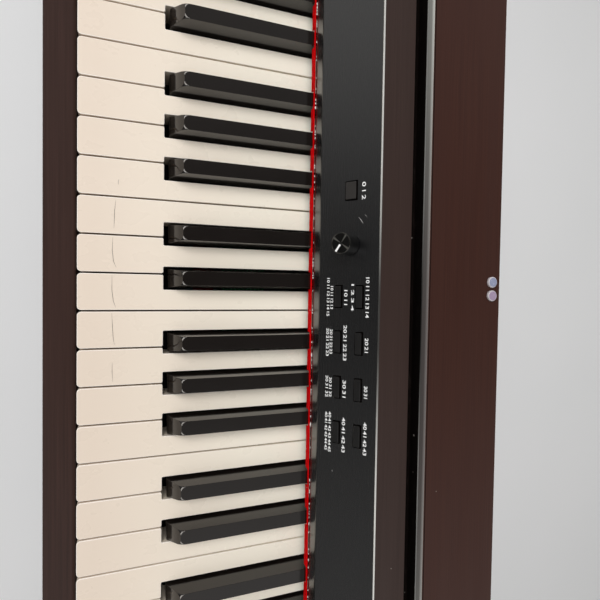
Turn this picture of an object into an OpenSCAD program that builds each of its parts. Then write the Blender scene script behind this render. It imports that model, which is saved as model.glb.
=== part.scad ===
// Digital piano on its stand: an 88-key console with a sloping control panel,
// a slotted top, side panels on foot blocks and a three-pedal box.
// Millimetres, +Z up, X along the keyboard (bass at -X), the player sits at -Y.
// The origin is on the floor, under the middle of the footprint.

/* [Keyboard] */
// Height of the white key tops above the floor
key_top_z = 730; // [700:1:760]
// Distance from one white key to the next
white_pitch = 23.5; // [23:0.1:24.2]
// Gap between neighbouring white keys
key_gap = 1; // [0.8:0.1:1.2]
// Height of the moulded key body
key_body_h = 20; // [18:0.5:22]
// Wall thickness of the moulded keys
key_wall = 2; // [1.6:0.1:2.4]
// Length of the wide head of a white key
head_length = 50; // [46:1:51]
// Distance from the key fronts to the pivot rod
pivot_y = 203; // [198:1:206]
// Length of key behind the pivot rod
tail_length = 9; // [8:0.5:10]
// Travel of a white key at its front edge
key_dip = 10; // [9:0.1:10.5]
// Radius of the key pivot rod
pivot_r = 2; // [1.5:0.1:2.5]

/* [Black keys] */
// Height of the black keys above the white ones
sharp_height = 12; // [11:0.5:12.5]
// Width of a black key at its foot
sharp_base_w = 11.6; // [11:0.1:12]
// Width of a black key on top
sharp_top_w = 9; // [8:0.1:10]
// Distance from the white key fronts to the foot of a black key
sharp_front_y = 53; // [52:0.5:56]
// How far the front of a black key slopes back
sharp_slope = 8; // [5:0.5:10]
// Free width that the white keys leave for a black key
notch_w = 14.8; // [14.4:0.1:15.2]

/* [Control panel] */
// Distance from the key fronts to the panel's upright lip
lip_y = 147; // [144:1:150]
// Height of the lip's lower edge above the white keys
lip_z = 14.5; // [14:0.5:17]
// Height of the upright lip
lip_h = 11.5; // [8:0.5:13]
// Length of the panel's sloping face
slope_length = 42.5; // [40:0.5:46]
// Slope of the panel's face from the horizontal
slope_angle = 54.3; // [50:0.1:56]
// Thickness of the panel sheet
sheet_t = 1.5; // [1.2:0.1:1.8]
// Thickness of the bright trim strip
trim_t = 1.1; // [0.8:0.1:2]
// Height of the bright trim strip
trim_h = 9; // [6:0.5:9.5]
// Thickness of the name felt
felt_t = 1.8; // [1.5:0.1:2.6]

/* [Controls] */
// Length of a function button along the keyboard
button_l = 14.4; // [12:0.1:18]
// Width of a function button up the slope
button_w = 5.2; // [4.5:0.1:6]
// Distance from one function button to the next
button_pitch = 29.2; // [26:0.1:32]
// Place of the first function button along the keyboard
button_x = -10.8; // [-14:0.1:-8]
// Place of the front button row up the slope
front_row_s = 14.8; // [13:0.1:16]
// Distance between the two button rows
row_pitch = 15; // [13.5:0.1:16]
// How far a button stands above the panel
button_proud = 1.8; // [1.2:0.1:2.5]
// Travel of a button
button_travel = 0.8; // [0.5:0.1:0.9]
// Length of the power button along the keyboard
power_l = 11.8; // [10:0.1:13]
// Width of the power button up the slope
power_w = 8.3; // [7:0.1:9]
// Place of the power button along the keyboard
power_x = -77.5; // [-84:0.5:-72]
// Radius of the volume knob
knob_r = 6.55; // [5.5:0.05:7]
// Height of the volume knob
knob_h = 12; // [9:0.5:14]
// Place of the volume knob along the keyboard
knob_x = -43.5; // [-47:0.5:-40]
// Radius of the volume control's shaft
shaft_r = 3; // [2.5:0.1:3.2]

/* [Console] */
// Thickness of the side panels
side_t = 22; // [18:1:28]
// Width of the end blocks beside the keys
end_block_w = 41; // [30:1:60]
// Height of the end blocks above the white keys
end_block_z = 14; // [12:0.5:16]
// Thickness of the key slip
slip_t = 18.5; // [15:0.5:24]
// Depth of the key slip's top below the white keys
slip_drop = 9; // [7:0.5:12]
// Thickness of the key bed
bed_t = 15; // [12:1:20]
// Depth of the key bed's top below the white keys
bed_drop = 58; // [56:1:64]
// Depth of the top front rail
rail_depth = 21.6; // [18:0.1:24]
// Thickness of the top front rail
rail_t = 10; // [8.5:0.5:11]
// Width of the slot that takes a music rest
slot_w = 7.5; // [6:0.1:9]
// Depth of the slot that takes a music rest
slot_depth = 8; // [6:0.5:8.5]
// Depth of the top board
top_depth = 56.5; // [54:0.5:60]
// Thickness of the top board
top_t = 18; // [17:0.5:20]
// How far the top board stands above the front rail
top_step = 7; // [5:0.5:8]
// Thickness of the rear board
rear_t = 13; // [11:0.5:15]

/* [Stand] */
// Width of a side panel's leg
leg_depth = 142; // [120:1:160]
// Radius of the curve between arm and leg
leg_curve_r = 80; // [40:1:90]
// Length of a foot block
foot_length = 380; // [360:1:440]
// Height of a foot block
foot_h = 45; // [36:1:60]
// Width of a foot block, from the side panel's inner face outwards
foot_w = 30; // [26:1:44]
// How far a foot block reaches in front of the keys
foot_reach = 90; // [70:1:110]
// Height of the modesty panel
modesty_h = 380; // [300:1:420]
// Thickness of the modesty panel
modesty_t = 15; // [12:1:18]
// Height of the pedal box
pedal_box_h = 90; // [84:1:100]
// Depth of the pedal box
pedal_box_depth = 60; // [58:1:64]
// Floor clearance of the pedal box
pedal_box_clear = 30; // [24:1:36]
// Distance from one pedal to the next
pedal_pitch = 70; // [62:1:78]
// Width of a pedal's tread
pedal_w = 26; // [22:1:30]
// Thickness of a pedal
pedal_t = 6; // [4:0.5:7]
// Length of pedal in front of its box
pedal_reach = 88; // [70:1:92]

/* [Hidden] */

$fn = 48;
cut = 1;            // how far a cutter runs past the face it cuts
fit = 0.05;         // radial clearance of a running fit
clear = 0.3;        // clearance between pieces that move past each other

// The note pattern: 52 white keys from A to C, the middle octave starts at white key 23
white_count = 52;
middle_c = 23;
octave = 7;
has_sharp = [true, true, false, true, true, true, false];
// Sideways shift of each black key from the gap it covers, C sharp to A sharp
sharp_shift = [-2.1, 2.7, 0, -3.2, 0, 3.4, 0];

half_keys = white_count * white_pitch / 2;
frame_wall = 2;
frame_half = half_keys + 0.5 + frame_wall;
block_x0 = frame_half + 0.5;
inner_half = block_x0 + end_block_w;
outer_half = inner_half + side_t;

key_length = pivot_y + tail_length;
pivot_z = -key_body_h / 2;
dip_angle = asin(key_dip / pivot_y);
hook_y = lip_y + 5;             // rear end of a black key's raised cap
pivot_block = 12;               // solid length of key in front of the pivot rod
finger_y0 = 104;                // cross rib that presses the rubber dome
finger_y1 = 114;

slip_gap = 1.5;                 // between the key slip and the key fronts
slip_y0 = -slip_gap - slip_t;
bed_z0 = -bed_drop - bed_t;

// Control panel section: bend between lip and slope, and top of the slope
bend_z = lip_z + lip_h;
slope_y1 = lip_y + slope_length * cos(slope_angle);
slope_z1 = bend_z + slope_length * sin(slope_angle);
trim_y1 = slope_y1 + trim_t;
rail_y1 = trim_y1 + rail_depth;
top_y0 = rail_y1 + slot_w;
top_y1 = top_y0 + top_depth;
top_z1 = slope_z1 + top_step;
top_z0 = top_z1 - top_t;
rear_overhang = 2;
rear_y1 = top_y1 - rear_overhang;
rear_y0 = rear_y1 - rear_t;

side_front_y = slip_y0 - 2;
side_rear_y = top_y1 + 3;
side_top_z = top_z1 + 1.5;
side_cheek_z = end_block_z + 2;
side_bottom_z = bed_z0 - 3;
side_proud = 8;                 // side panel's slope in front of the panel's face

floor_z = -key_top_z;
foot_top_z = floor_z + foot_h;
key_front_y = foot_reach - foot_length / 2;

modesty_z1 = bed_z0 - 67;
modesty_y1 = side_rear_y - 46;
box_z0 = floor_z + pedal_box_clear;
box_z1 = box_z0 + pedal_box_h;
box_y1 = side_rear_y - 11;
box_y0 = box_y1 - pedal_box_depth;
box_wall = 12;
box_front_t = 15;
pedal_z1 = box_z0 + 46;         // top of the pedals
pedal_pivot_y = box_y1 - box_wall - 12;
pedal_pivot_z = pedal_z1 - pedal_t / 2;
pedal_rod_r = 2;
pedal_arm_w = 16;

board_face = -7;                // front of the button board, from the panel's face
board_t = 1.6;
button_gap = 0.3;               // round a button in its hole
flange = 1;                     // how far a button's hidden flange reaches past its hole

bolt_r = 3;
bolt_head_r = 6.5;
bolt_head_t = 3;
bolt_depth = 30;

bumper_x = -21.5;               // first of the two clear bumpers
bumper_pitch = 8.8;
bumper_inset = 7;
bumper_r = 3.6;
bumper_h = 1.6;

speaker_x = 430;
speaker_l = 134;
speaker_w = 64;
speaker_z = (top_z0 - bed_drop) / 2;
jack_x = -200;                  // middle of the rear jack plate and of the opening behind it
jack_half = 71;
jack_half_h = 15;

// Everything is laid out from the front edge and top plane of the white keys
module console() {
    translate([0, key_front_y, key_top_z]) children();
}

// The panel's slope: X along the keyboard, Y up the slope, Z out of its face
module on_slope() {
    console() translate([0, lip_y, bend_z]) rotate([slope_angle, 0, 0]) children();
}

module box_from(low, high) {
    translate(low) cube(high - low);
}

// A section in the Y-Z plane, extruded between two places along X
module across(x0, x1) {
    translate([x0, 0, 0])
        rotate([90, 0, 90])
            linear_extrude(height = x1 - x0) children();
}

module rod_x(x0, x1, y, z, r) {
    translate([x0, y, z]) rotate([0, 90, 0]) cylinder(h = x1 - x0, r = r);
}

module rod_y(x, y0, y1, z, r) {
    translate([x, y0, z]) rotate([-90, 0, 0]) cylinder(h = y1 - y0, r = r);
}

// Outline with straight sides and round ends, centred, in the X-Z plane facing Y
module racetrack(length, width, y0, y1, z) {
    r = width / 2;
    translate([0, y1, z])
        rotate([90, 0, 0])
            linear_extrude(height = y1 - y0)
                union() {
                    square([length - width, width], center = true);
                    for (side = [-1, 1]) translate([side * (length - width) / 2, 0]) circle(r = r);
                }
}

// ---------- Keys ----------

function letter(w) = (w + 5) % octave;
function sharp_after(w) = w >= 0 && w < white_count - 1 && has_sharp[letter(w)];
function gap_x(w) = (w + 1) * white_pitch - half_keys;
function sharp_x(w) = gap_x(w) + sharp_shift[letter(w)];
function white_x0(w) = gap_x(w - 1) + key_gap / 2;
function white_x1(w) = gap_x(w) - key_gap / 2;
function tail_x0(w) = sharp_after(w - 1) ? sharp_x(w - 1) + notch_w / 2 : white_x0(w);
function tail_x1(w) = sharp_after(w) ? sharp_x(w) - notch_w / 2 : white_x1(w);
// How far a key's underside has gone down at a place along its length
function dip_at(y) = (pivot_y - y) * sin(dip_angle) + 0.1;

module pivot_bore(x0, x1) {
    rod_x(x0 - cut, x1 + cut, pivot_y, pivot_z, pivot_r + fit);
}

module white_key(w) {
    x0 = white_x0(w);
    x1 = white_x1(w);
    t0 = tail_x0(w);
    t1 = tail_x1(w);
    hollow_h = key_body_h - key_wall;
    difference() {
        translate([0, 0, -key_body_h])
            linear_extrude(height = key_body_h)
                union() {
                    translate([x0, 0]) square([x1 - x0, head_length]);
                    translate([t0, 0]) square([t1 - t0, key_length]);
                }
        translate([0, 0, -key_body_h - cut])
            linear_extrude(height = hollow_h + cut)
                union() {
                    translate([x0 + key_wall, key_wall])
                        square([x1 - x0 - 2 * key_wall, head_length - 2 * key_wall]);
                    translate([t0 + key_wall, key_wall])
                        square([t1 - t0 - 2 * key_wall, finger_y0 - key_wall]);
                    translate([t0 + key_wall, finger_y1])
                        square([t1 - t0 - 2 * key_wall, pivot_y - pivot_block - finger_y1]);
                }
        pivot_bore(t0, t1);
    }
}

module black_key(w) {
    x = sharp_x(w);
    half_base = sharp_base_w / 2;
    half_top = sharp_top_w / 2;
    inside_w = sharp_base_w - 2 * key_wall;
    difference() {
        union() {
            box_from([x - half_base, sharp_front_y, -key_body_h], [x + half_base, key_length, 0]);
            intersection() {
                across(x - half_base - cut, x + half_base + cut)
                    polygon([[sharp_front_y, 0], [sharp_front_y + sharp_slope, sharp_height],
                             [hook_y, sharp_height], [hook_y, 0]]);
                translate([x, hook_y + cut, 0])
                    rotate([90, 0, 0])
                        linear_extrude(height = hook_y + 2 * cut)
                            polygon([[-half_base, 0], [half_base, 0],
                                     [half_top, sharp_height], [-half_top, sharp_height]]);
            }
        }
        translate([x - inside_w / 2, 0, -key_body_h - cut]) {
            translate([0, sharp_front_y + key_wall, 0])
                cube([inside_w, finger_y0 - sharp_front_y - key_wall, key_body_h - key_wall + cut]);
            translate([0, finger_y1, 0])
                cube([inside_w, pivot_y - pivot_block - finger_y1, key_body_h - key_wall + cut]);
        }
        pivot_bore(x - half_base, x + half_base);
    }
}

module white_keys(first, last) {
    color("ivory") console() for (w = [first:last]) white_key(w);
}

module black_keys(first, last) {
    color([0.05, 0.05, 0.05]) console()
        for (w = [first:last]) if (sharp_after(w)) black_key(w);
}

module bass_white_keys() { white_keys(0, middle_c - 1); }
module bass_black_keys() { black_keys(0, middle_c - 1); }
module treble_white_keys() { white_keys(middle_c + octave, white_count - 1); }
module treble_black_keys() { black_keys(middle_c + octave, white_count - 1); }

// ---------- Key action ----------

felt_pad = 3;                           // thickness of the stop felts
front_stop_y = 22;                      // front edges of the two stop felts under the keys
middle_stop_y = 72;
up_stop_y = 164;                        // front edge of the stop felt over the key tails
stop_w = 14;                            // width of the stop felts
up_stop_w = 16;
front_stop = [front_stop_y, front_stop_y + stop_w];         // from and to
middle_stop = [middle_stop_y, middle_stop_y + stop_w];
up_stop = [up_stop_y, up_stop_y + up_stop_w];
post_t = 4;                             // thickness of a guide post
post_slack = 0.5;                       // on each side of a guide post
front_post_y = 14;
post_top = -key_wall - dip_at(0) - 1;   // guide posts stay inside the keys
frame_y0 = 8;                           // front edge of the key frame
board_y0 = 93;                          // contact board, from and to
board_y1 = 125;

function stop_top(y) = -key_body_h - dip_at(y) - clear;

// A channel along the keyboard, open below
module rail(y0, y1, z) {
    wall = frame_wall;
    difference() {
        box_from([-frame_half, y0, -bed_drop], [frame_half, y1, z]);
        box_from([-frame_half + wall, y0 + wall, -bed_drop - cut], [frame_half - wall, y1 - wall, z - wall]);
    }
}

module guide_post(x, y, key_w, root_z) {
    width = key_w - 2 * key_wall - 2 * post_slack;
    box_from([x - width / 2, y, root_z - frame_wall / 2], [x + width / 2, y + post_t, post_top]);
}

// Thin plates that hold the pivot rod on both sides of every black key
module comb_plate(x) {
    plate_t = (notch_w - sharp_base_w) / 2 - 2 * clear;
    ear = 6;
    box_from([x - plate_t / 2, pivot_y - ear, -bed_drop + frame_wall / 2],
             [x + plate_t / 2, pivot_y + ear, pivot_z + pivot_r + ear / 2]);
}

module key_frame() {
    front_z = stop_top(front_stop[0]) - felt_pad;
    middle_z = stop_top(middle_stop[0]) - felt_pad;
    comb_x = (sharp_base_w + notch_w) / 4;
    rear_y = pivot_y + tail_length + 3;
    color([0.25, 0.25, 0.27]) console() difference() {
        union() {
            box_from([-frame_half, frame_y0, -bed_drop], [frame_half, rear_y, -bed_drop + frame_wall]);
            rail(front_post_y - post_t, front_stop[1] + frame_wall, front_z);
            rail(middle_stop[0] - 3 * post_t, middle_stop[1] + frame_wall, middle_z);
            for (y = [board_y0 + frame_wall, board_y1 - 2 * frame_wall])
                box_from([-frame_half, y, -bed_drop], [frame_half, y + frame_wall, contact_z - board_t]);
            for (w = [0:white_count - 1]) {
                guide_post((white_x0(w) + white_x1(w)) / 2, front_post_y, white_pitch - key_gap, front_z);
                if (sharp_after(w)) {
                    guide_post(sharp_x(w), middle_stop[0] - 2 * post_t, sharp_base_w, middle_z);
                    for (side = [-1, 1]) comb_plate(sharp_x(w) + side * comb_x);
                }
            }
            for (side = [0, 1]) mirror([side, 0, 0])
                box_from([frame_half - frame_wall, up_stop[0] - frame_wall, -bed_drop],
                         [frame_half, rear_y, felt_pad + clear + frame_wall]);
            box_from([-frame_half, up_stop[0], felt_pad + clear],
                     [frame_half, up_stop[1], felt_pad + clear + frame_wall]);
        }
        pivot_bore(-frame_half, frame_half);
    }
}

module key_pivot_rod() {
    color("silver") console() rod_x(-frame_half, frame_half, pivot_y, pivot_z, pivot_r);
}

dome_h = 5.2;
contact_z = -key_body_h - dip_at(finger_y0) - clear - dome_h;

// A rubber dome rooted in the contact board
module dome(x) {
    root = 0.5;
    translate([x, (finger_y0 + finger_y1) / 2, contact_z - root])
        cylinder(h = dome_h + root, r1 = 4, r2 = 3);
}

module contact_board() {
    color("seagreen") console() union() {
        box_from([-half_keys, board_y0, contact_z - board_t], [half_keys, board_y1, contact_z]);
        for (w = [0:white_count - 1]) {
            dome((tail_x0(w) + tail_x1(w)) / 2);
            if (sharp_after(w)) dome(sharp_x(w));
        }
    }
}

module key_stop_felts() {
    color("firebrick") console() {
        for (strip = [front_stop, middle_stop])
            box_from([-half_keys, strip[0], stop_top(strip[0]) - felt_pad],
                     [half_keys, strip[1], stop_top(strip[0])]);
        box_from([-half_keys, up_stop[0], clear], [half_keys, up_stop[1], clear + felt_pad]);
    }
}

// The felt hangs lower between the black keys than over them
module name_felt() {
    over_sharps = sharp_height + 0.4;
    lower_edge = sharp_height - 3;
    color("red") console() difference() {
        box_from([-half_keys, lip_y - felt_t, lower_edge], [half_keys, lip_y, lip_z + clear]);
        for (w = [0:white_count - 2]) if (sharp_after(w))
            box_from([sharp_x(w) - sharp_base_w / 2, lip_y - felt_t - cut, lower_edge - cut],
                     [sharp_x(w) + sharp_base_w / 2, lip_y + cut, over_sharps]);
    }
}

// ---------- Control panel ----------

module slope_hole(x, s, length, width) {
    translate([x - length / 2, s - width / 2, -2 * sheet_t]) cube([length, width, 3 * sheet_t]);
}

module control_panel() {
    lip_in = lip_y + sheet_t;
    drop = sheet_t / cos(slope_angle);
    color([0.12, 0.12, 0.12]) difference() {
        console() across(-inner_half, inner_half)
            polygon([[lip_y, lip_z], [lip_y, bend_z], [slope_y1, slope_z1], [slope_y1, slope_z1 - drop],
                     [lip_in, bend_z + sheet_t * tan(slope_angle) - drop], [lip_in, lip_z]]);
        on_slope() {
            for (k = [0:3]) for (row = [0:1])
                slope_hole(button_x + k * button_pitch, front_row_s + row * row_pitch,
                           button_l + 2 * button_gap, button_w + 2 * button_gap);
            slope_hole(power_x, middle_s, power_l + 2 * button_gap, power_w + 2 * button_gap);
            translate([knob_x, middle_s, -2 * sheet_t]) cylinder(h = 3 * sheet_t, r = shaft_r + 0.5);
        }
    }
}

middle_s = front_row_s + row_pitch / 2 + 0.5;      // power button and knob, between the two rows

module panel_trim() {
    color("silver") console()
        box_from([-inner_half, slope_y1, slope_z1 + 0.5 - trim_h], [inner_half, trim_y1, slope_z1 + 0.5]);
}

// A button cap through the panel, with a flange that stops it from behind
module push_button(x, s, length, width) {
    flange_t = 1;
    on_slope() translate([x, s, 0]) union() {
        translate([-length / 2, -width / 2, -sheet_t - flange_t])
            cube([length, width, sheet_t + flange_t + button_proud]);
        translate([-length / 2 - flange, -width / 2 - flange, -sheet_t - flange_t])
            cube([length + 2 * flange, width + 2 * flange, flange_t]);
    }
}

module function_button(k, row) {
    color([0.1, 0.1, 0.1])
        push_button(button_x + k * button_pitch, front_row_s + row * row_pitch, button_l, button_w);
}

module power_button() {
    color([0.1, 0.1, 0.1]) push_button(power_x, middle_s, power_l, power_w);
}

module volume_knob() {
    knob_gap = 0.6;
    color([0.15, 0.15, 0.15]) on_slope() translate([knob_x, middle_s, 0]) {
        difference() {
            translate([0, 0, knob_gap]) cylinder(h = knob_h, r = knob_r);
            translate([0, 0, knob_gap - cut]) cylinder(h = 3 + cut, r = knob_r - 1.2);
        }
        translate([0, 0, board_face + 1]) cylinder(h = knob_gap + 3 - board_face, r = shaft_r);
    }
}

module button_board() {
    switch_w = 5.5;
    x0 = power_x - power_l / 2 - 8;
    x1 = button_x + 3 * button_pitch + button_l / 2 + 8;
    switch_top = -sheet_t - 1 - button_travel - clear;
    color("seagreen") on_slope() difference() {
        union() {
            translate([x0, 5, board_face - board_t])
                cube([x1 - x0, front_row_s + row_pitch + switch_w / 2 + 1 - 5, board_t]);
            for (k = [0:3]) for (row = [0:1])
                translate([button_x + k * button_pitch - switch_w / 2,
                           front_row_s + row * row_pitch - switch_w / 2, board_face])
                    cube([switch_w, switch_w, switch_top - board_face]);
            translate([power_x - switch_w / 2, middle_s - switch_w / 2, board_face])
                cube([switch_w, switch_w, switch_top - board_face]);
            translate([knob_x - 5.5, middle_s - 5.5, board_face]) cube([11, 11, -sheet_t - 0.3 - board_face]);
            for (x = [x0 + 6, knob_x + 14, x1 - 6])
                translate([x, 9, board_face]) cylinder(h = -sheet_t - board_face, r = 2);
        }
        translate([knob_x, middle_s, board_face]) cylinder(h = -board_face, r = shaft_r + fit);
    }
}

// ---------- Top and casework ----------

module top_front_rail() {
    color([0.2, 0.16, 0.14]) console()
        box_from([-inner_half, trim_y1, slope_z1 - rail_t], [inner_half, rail_y1, slope_z1]);
}

// The top board carries the floor of the slot on a thin tongue
module top_board() {
    color([0.2, 0.15, 0.13]) console() across(-inner_half, inner_half)
        polygon([[rail_y1, top_z0], [top_y1, top_z0], [top_y1, top_z1], [top_y0, top_z1],
                 [top_y0, slope_z1 - slot_depth], [rail_y1, slope_z1 - slot_depth]]);
}

module clear_bumpers() {
    color([0.8, 0.8, 0.9, 0.6]) console()
        for (k = [0, 1])
            translate([bumper_x + k * bumper_pitch, top_y1 - bumper_inset, top_z1])
                cylinder(h = bumper_h, r1 = bumper_r, r2 = bumper_r - 0.6);
}

module key_bed() {
    color([0.16, 0.13, 0.12]) console() difference() {
        box_from([-inner_half, -slip_gap, bed_z0], [inner_half, rear_y1, -bed_drop]);
        bolt_holes();
    }
}

module key_slip() {
    color([0.13, 0.12, 0.12]) console()
        box_from([-block_x0, slip_y0, bed_z0], [block_x0, -slip_gap, -slip_drop]);
}

module end_block(side) {
    color([0.13, 0.12, 0.12]) console() mirror([side, 0, 0])
        across(block_x0, inner_half)
            polygon([[slip_y0, bed_z0], [-slip_gap, bed_z0], [-slip_gap, -bed_drop],
                     [lip_y - 0.5, -bed_drop], [lip_y - 0.5, end_block_z], [slip_y0 + 6, end_block_z],
                     [slip_y0, end_block_z - 8]]);
}

module rear_board() {
    color([0.16, 0.13, 0.12]) console() difference() {
        box_from([-inner_half, rear_y0, -bed_drop], [inner_half, rear_y1, top_z0]);
        for (side = [-1, 1]) translate([side * speaker_x, 0, 0])
            racetrack(speaker_l, speaker_w, rear_y0 - cut, rear_y1 + cut, speaker_z);
        box_from([jack_x - jack_half, rear_y0 - cut, speaker_z - jack_half_h],
                 [jack_x + jack_half, rear_y1 + cut, speaker_z + jack_half_h]);
    }
}

// Side panel section: arm under the console, leg at the rear, sloping cheek on top
module side_section() {
    rise = side_top_z - side_cheek_z;
    cheek_y = lip_y - side_proud / sin(slope_angle) - (bend_z - side_cheek_z) / tan(slope_angle);
    leg_y = side_rear_y - leg_depth;
    polygon([[side_front_y, side_bottom_z], [side_front_y, side_cheek_z], [cheek_y, side_cheek_z],
             [cheek_y + rise / tan(slope_angle), side_top_z], [side_rear_y, side_top_z],
             [side_rear_y, foot_top_z], [leg_y, foot_top_z], [leg_y, side_bottom_z]]);
    difference() {
        translate([leg_y - leg_curve_r, side_bottom_z - leg_curve_r])
            square([leg_curve_r + cut, leg_curve_r + cut]);
        translate([leg_y - leg_curve_r, side_bottom_z - leg_curve_r]) circle(r = leg_curve_r);
    }
}

module side_panel(side) {
    color([0.16, 0.13, 0.12]) console() mirror([side, 0, 0]) difference() {
        across(inner_half, outer_half) side_section();
        bolt_holes();
    }
}

module foot_block(side) {
    nose = 18;
    color([0.16, 0.13, 0.12]) console() mirror([side, 0, 0])
        across(inner_half, inner_half + foot_w) {
            y0 = -foot_reach;
            y1 = foot_length - foot_reach;
            polygon([[y0, floor_z], [y1, floor_z], [y1, foot_top_z - nose / 2], [y1 - nose, foot_top_z],
                     [y0 + nose, foot_top_z], [y0, foot_top_z - nose / 2]]);
        }
}

// Connector bolts through the side panels into the boards between them
bolt_places = [
    [30, (bed_z0 - bed_drop) / 2], [rear_y1 - 40, (bed_z0 - bed_drop) / 2],
    [modesty_y1 - modesty_t / 2, modesty_z1 - 50],
    [modesty_y1 - modesty_t / 2, modesty_z1 - modesty_h + 50],
    [box_y0 + 30, box_z1 - 6]
];

module bolt_holes() {
    for (side = [0, 1]) mirror([side, 0, 0])
        for (p = bolt_places)
            rod_x(inner_half - bolt_depth - cut, outer_half + cut, p[0], p[1], bolt_r + fit);
}

module cabinet_bolts() {
    socket_r = 2.5;
    color([0.2, 0.2, 0.2]) console() for (side = [0, 1]) mirror([side, 0, 0])
        for (p = bolt_places) difference() {
            union() {
                rod_x(inner_half - bolt_depth, outer_half + cut, p[0], p[1], bolt_r);
                rod_x(outer_half, outer_half + bolt_head_t, p[0], p[1], bolt_head_r);
            }
            translate([outer_half + 0.5, p[0], p[1]])
                rotate([0, 90, 0]) cylinder(h = bolt_head_t, r = socket_r, $fn = 6);
        }
}

module modesty_panel() {
    color([0.16, 0.13, 0.12]) console() difference() {
        box_from([-inner_half, modesty_y1 - modesty_t, modesty_z1 - modesty_h],
                 [inner_half, modesty_y1, modesty_z1]);
        bolt_holes();
    }
}

// ---------- Electronics ----------

post_h = 14;                    // spacers that the hung boards hang from
hung_depth = 38;                // depth of a hung board
main_length = 220;
amplifier_length = 110;
amplifier_x = 300;

// A circuit board hung under the top board, with its parts on the underside
module hung_board(x, length, parts) {
    z = top_z0 - post_h;
    root = 0.5;
    inset = 7;
    union() {
        box_from([x - length / 2, top_y0, z - board_t], [x + length / 2, top_y0 + hung_depth, z]);
        for (side = [-1, 1]) for (y = [top_y0 + inset, top_y0 + hung_depth - inset])
            translate([x + side * (length / 2 - inset), y, z - root]) cylinder(h = post_h + root, r = 3);
        for (p = parts)
            box_from([x + p[0] - p[2] / 2, top_y0 + p[1] - p[3] / 2, z - board_t - p[4]],
                     [x + p[0] + p[2] / 2, top_y0 + p[1] + p[3] / 2, z - board_t + root]);
    }
}

module main_board() {
    // Each part: place along and across the board, its length, width and height
    parts = [[-60, 18, 24, 24, 3], [-10, 18, 20, 14, 2], [30, 14, 12, 12, 8], [70, 20, 30, 10, 9]];
    color("seagreen") console() hung_board(0, main_length, parts);
}

module amplifier_board() {
    parts = [[-30, 18, 30, 20, 12], [14, 18, 12, 12, 14], [36, 18, 12, 12, 14]];
    color("seagreen") console() hung_board(amplifier_x, amplifier_length, parts);
}

module speakers() {
    flange_t = 2.5;
    color([0.1, 0.1, 0.1]) console() for (side = [-1, 1]) translate([side * speaker_x, 0, 0])
        difference() {
            union() {
                racetrack(speaker_l + 16, speaker_w + 14, rear_y0 - flange_t, rear_y0, speaker_z);
                racetrack(speaker_l - 14, speaker_w - 14, rear_y0 - 11, rear_y0, speaker_z);
                rod_y(0, rear_y0 - 22, rear_y0 - 8, speaker_z, 24);
            }
            racetrack(speaker_l - 20, speaker_w - 20, rear_y0 - 8, rear_y0 + cut, speaker_z);
        }
}

module speaker_grilles() {
    lip = 4;
    plate_t = 1.5;
    slot_pitch = 7;
    slots = floor((speaker_l - speaker_w) / slot_pitch / 2);
    color([0.08, 0.08, 0.08]) console() for (side = [-1, 1]) translate([side * speaker_x, 0, 0])
        difference() {
            union() {
                racetrack(speaker_l + 2 * lip, speaker_w + 2 * lip, rear_y1, rear_y1 + plate_t, speaker_z);
                racetrack(speaker_l - 1, speaker_w - 1, rear_y1 - 4, rear_y1 + plate_t, speaker_z);
            }
            for (k = [-slots:slots])
                translate([k * slot_pitch, 0, 0])
                    racetrack(3, 3, rear_y1 - 5, rear_y1 + plate_t + cut, speaker_z);
            for (k = [-slots:slots])
                box_from([k * slot_pitch - 1.5, rear_y1 - 5, speaker_z - 24],
                         [k * slot_pitch + 1.5, rear_y1 + plate_t + cut, speaker_z + 24]);
        }
}

// Plate with sockets: power inlet, pedal, two audio jacks and a square data port
module rear_jack_plate() {
    plate_t = 1.5;
    plate_rim = 7;                              // how far the plate laps over the rear board
    body_depth = 14;                            // of a socket behind the plate
    hole_depth = 12;
    wall = 2;
    sockets = [[-52, 3], [-26, 3.2], [0, 3.2], [26, 3.2]];    // place along the plate, hole radius
    port = [53, 12, 10];                        // place along the plate, width, height
    low = [jack_x - jack_half - plate_rim, rear_y1, speaker_z - jack_half_h - plate_rim];
    high = [jack_x + jack_half + plate_rim, rear_y1 + plate_t, speaker_z + jack_half_h + plate_rim];
    color([0.08, 0.08, 0.08]) console() difference() {
        union() {
            box_from(low, high);
            for (s = sockets)
                rod_y(jack_x + s[0], rear_y1 - body_depth, rear_y1 + plate_t + 1, speaker_z, 6);
            socket_box(port, rear_y1 - body_depth, rear_y1 + plate_t, wall);
        }
        for (s = sockets)
            rod_y(jack_x + s[0], rear_y1 - hole_depth, rear_y1 + plate_t + 2 * cut, speaker_z, s[1]);
        socket_box(port, rear_y1 - hole_depth, rear_y1 + plate_t + cut, 0);
    }
}

// Block for a square socket, with a wall round its opening
module socket_box(port, y0, y1, wall) {
    half_w = port[1] / 2 + wall;
    half_h = port[2] / 2 + wall;
    x = jack_x + port[0];
    box_from([x - half_w, y0, speaker_z - half_h], [x + half_w, y1, speaker_z + half_h]);
}

// Box under the key bed with two headphone jacks that face the player
module headphone_box() {
    size = [70, 50, 26];
    low = [-inner_half + 10, 4, bed_z0 - size[2]];
    wall = 2;
    jack_r = 3.2;
    jack_depth = 16;
    jack_z = bed_z0 - size[2] / 2;
    ring = 1.5;                                 // how far a jack's ring stands proud
    color([0.1, 0.1, 0.1]) console() difference() {
        union() {
            box_from(low, low + size);
            for (k = [0, 1])
                rod_y(low[0] + 20 + k * 30, low[1] - ring, low[1] + wall, jack_z, 6);
        }
        box_from(low + [wall, jack_depth + wall, wall], low + size + [-wall, -wall, cut]);
        for (k = [0, 1])
            rod_y(low[0] + 20 + k * 30, low[1] - ring - cut, low[1] + jack_depth, jack_z, jack_r);
    }
}

// ---------- Pedals ----------

function pedal_x(k) = k * pedal_pitch;

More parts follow.
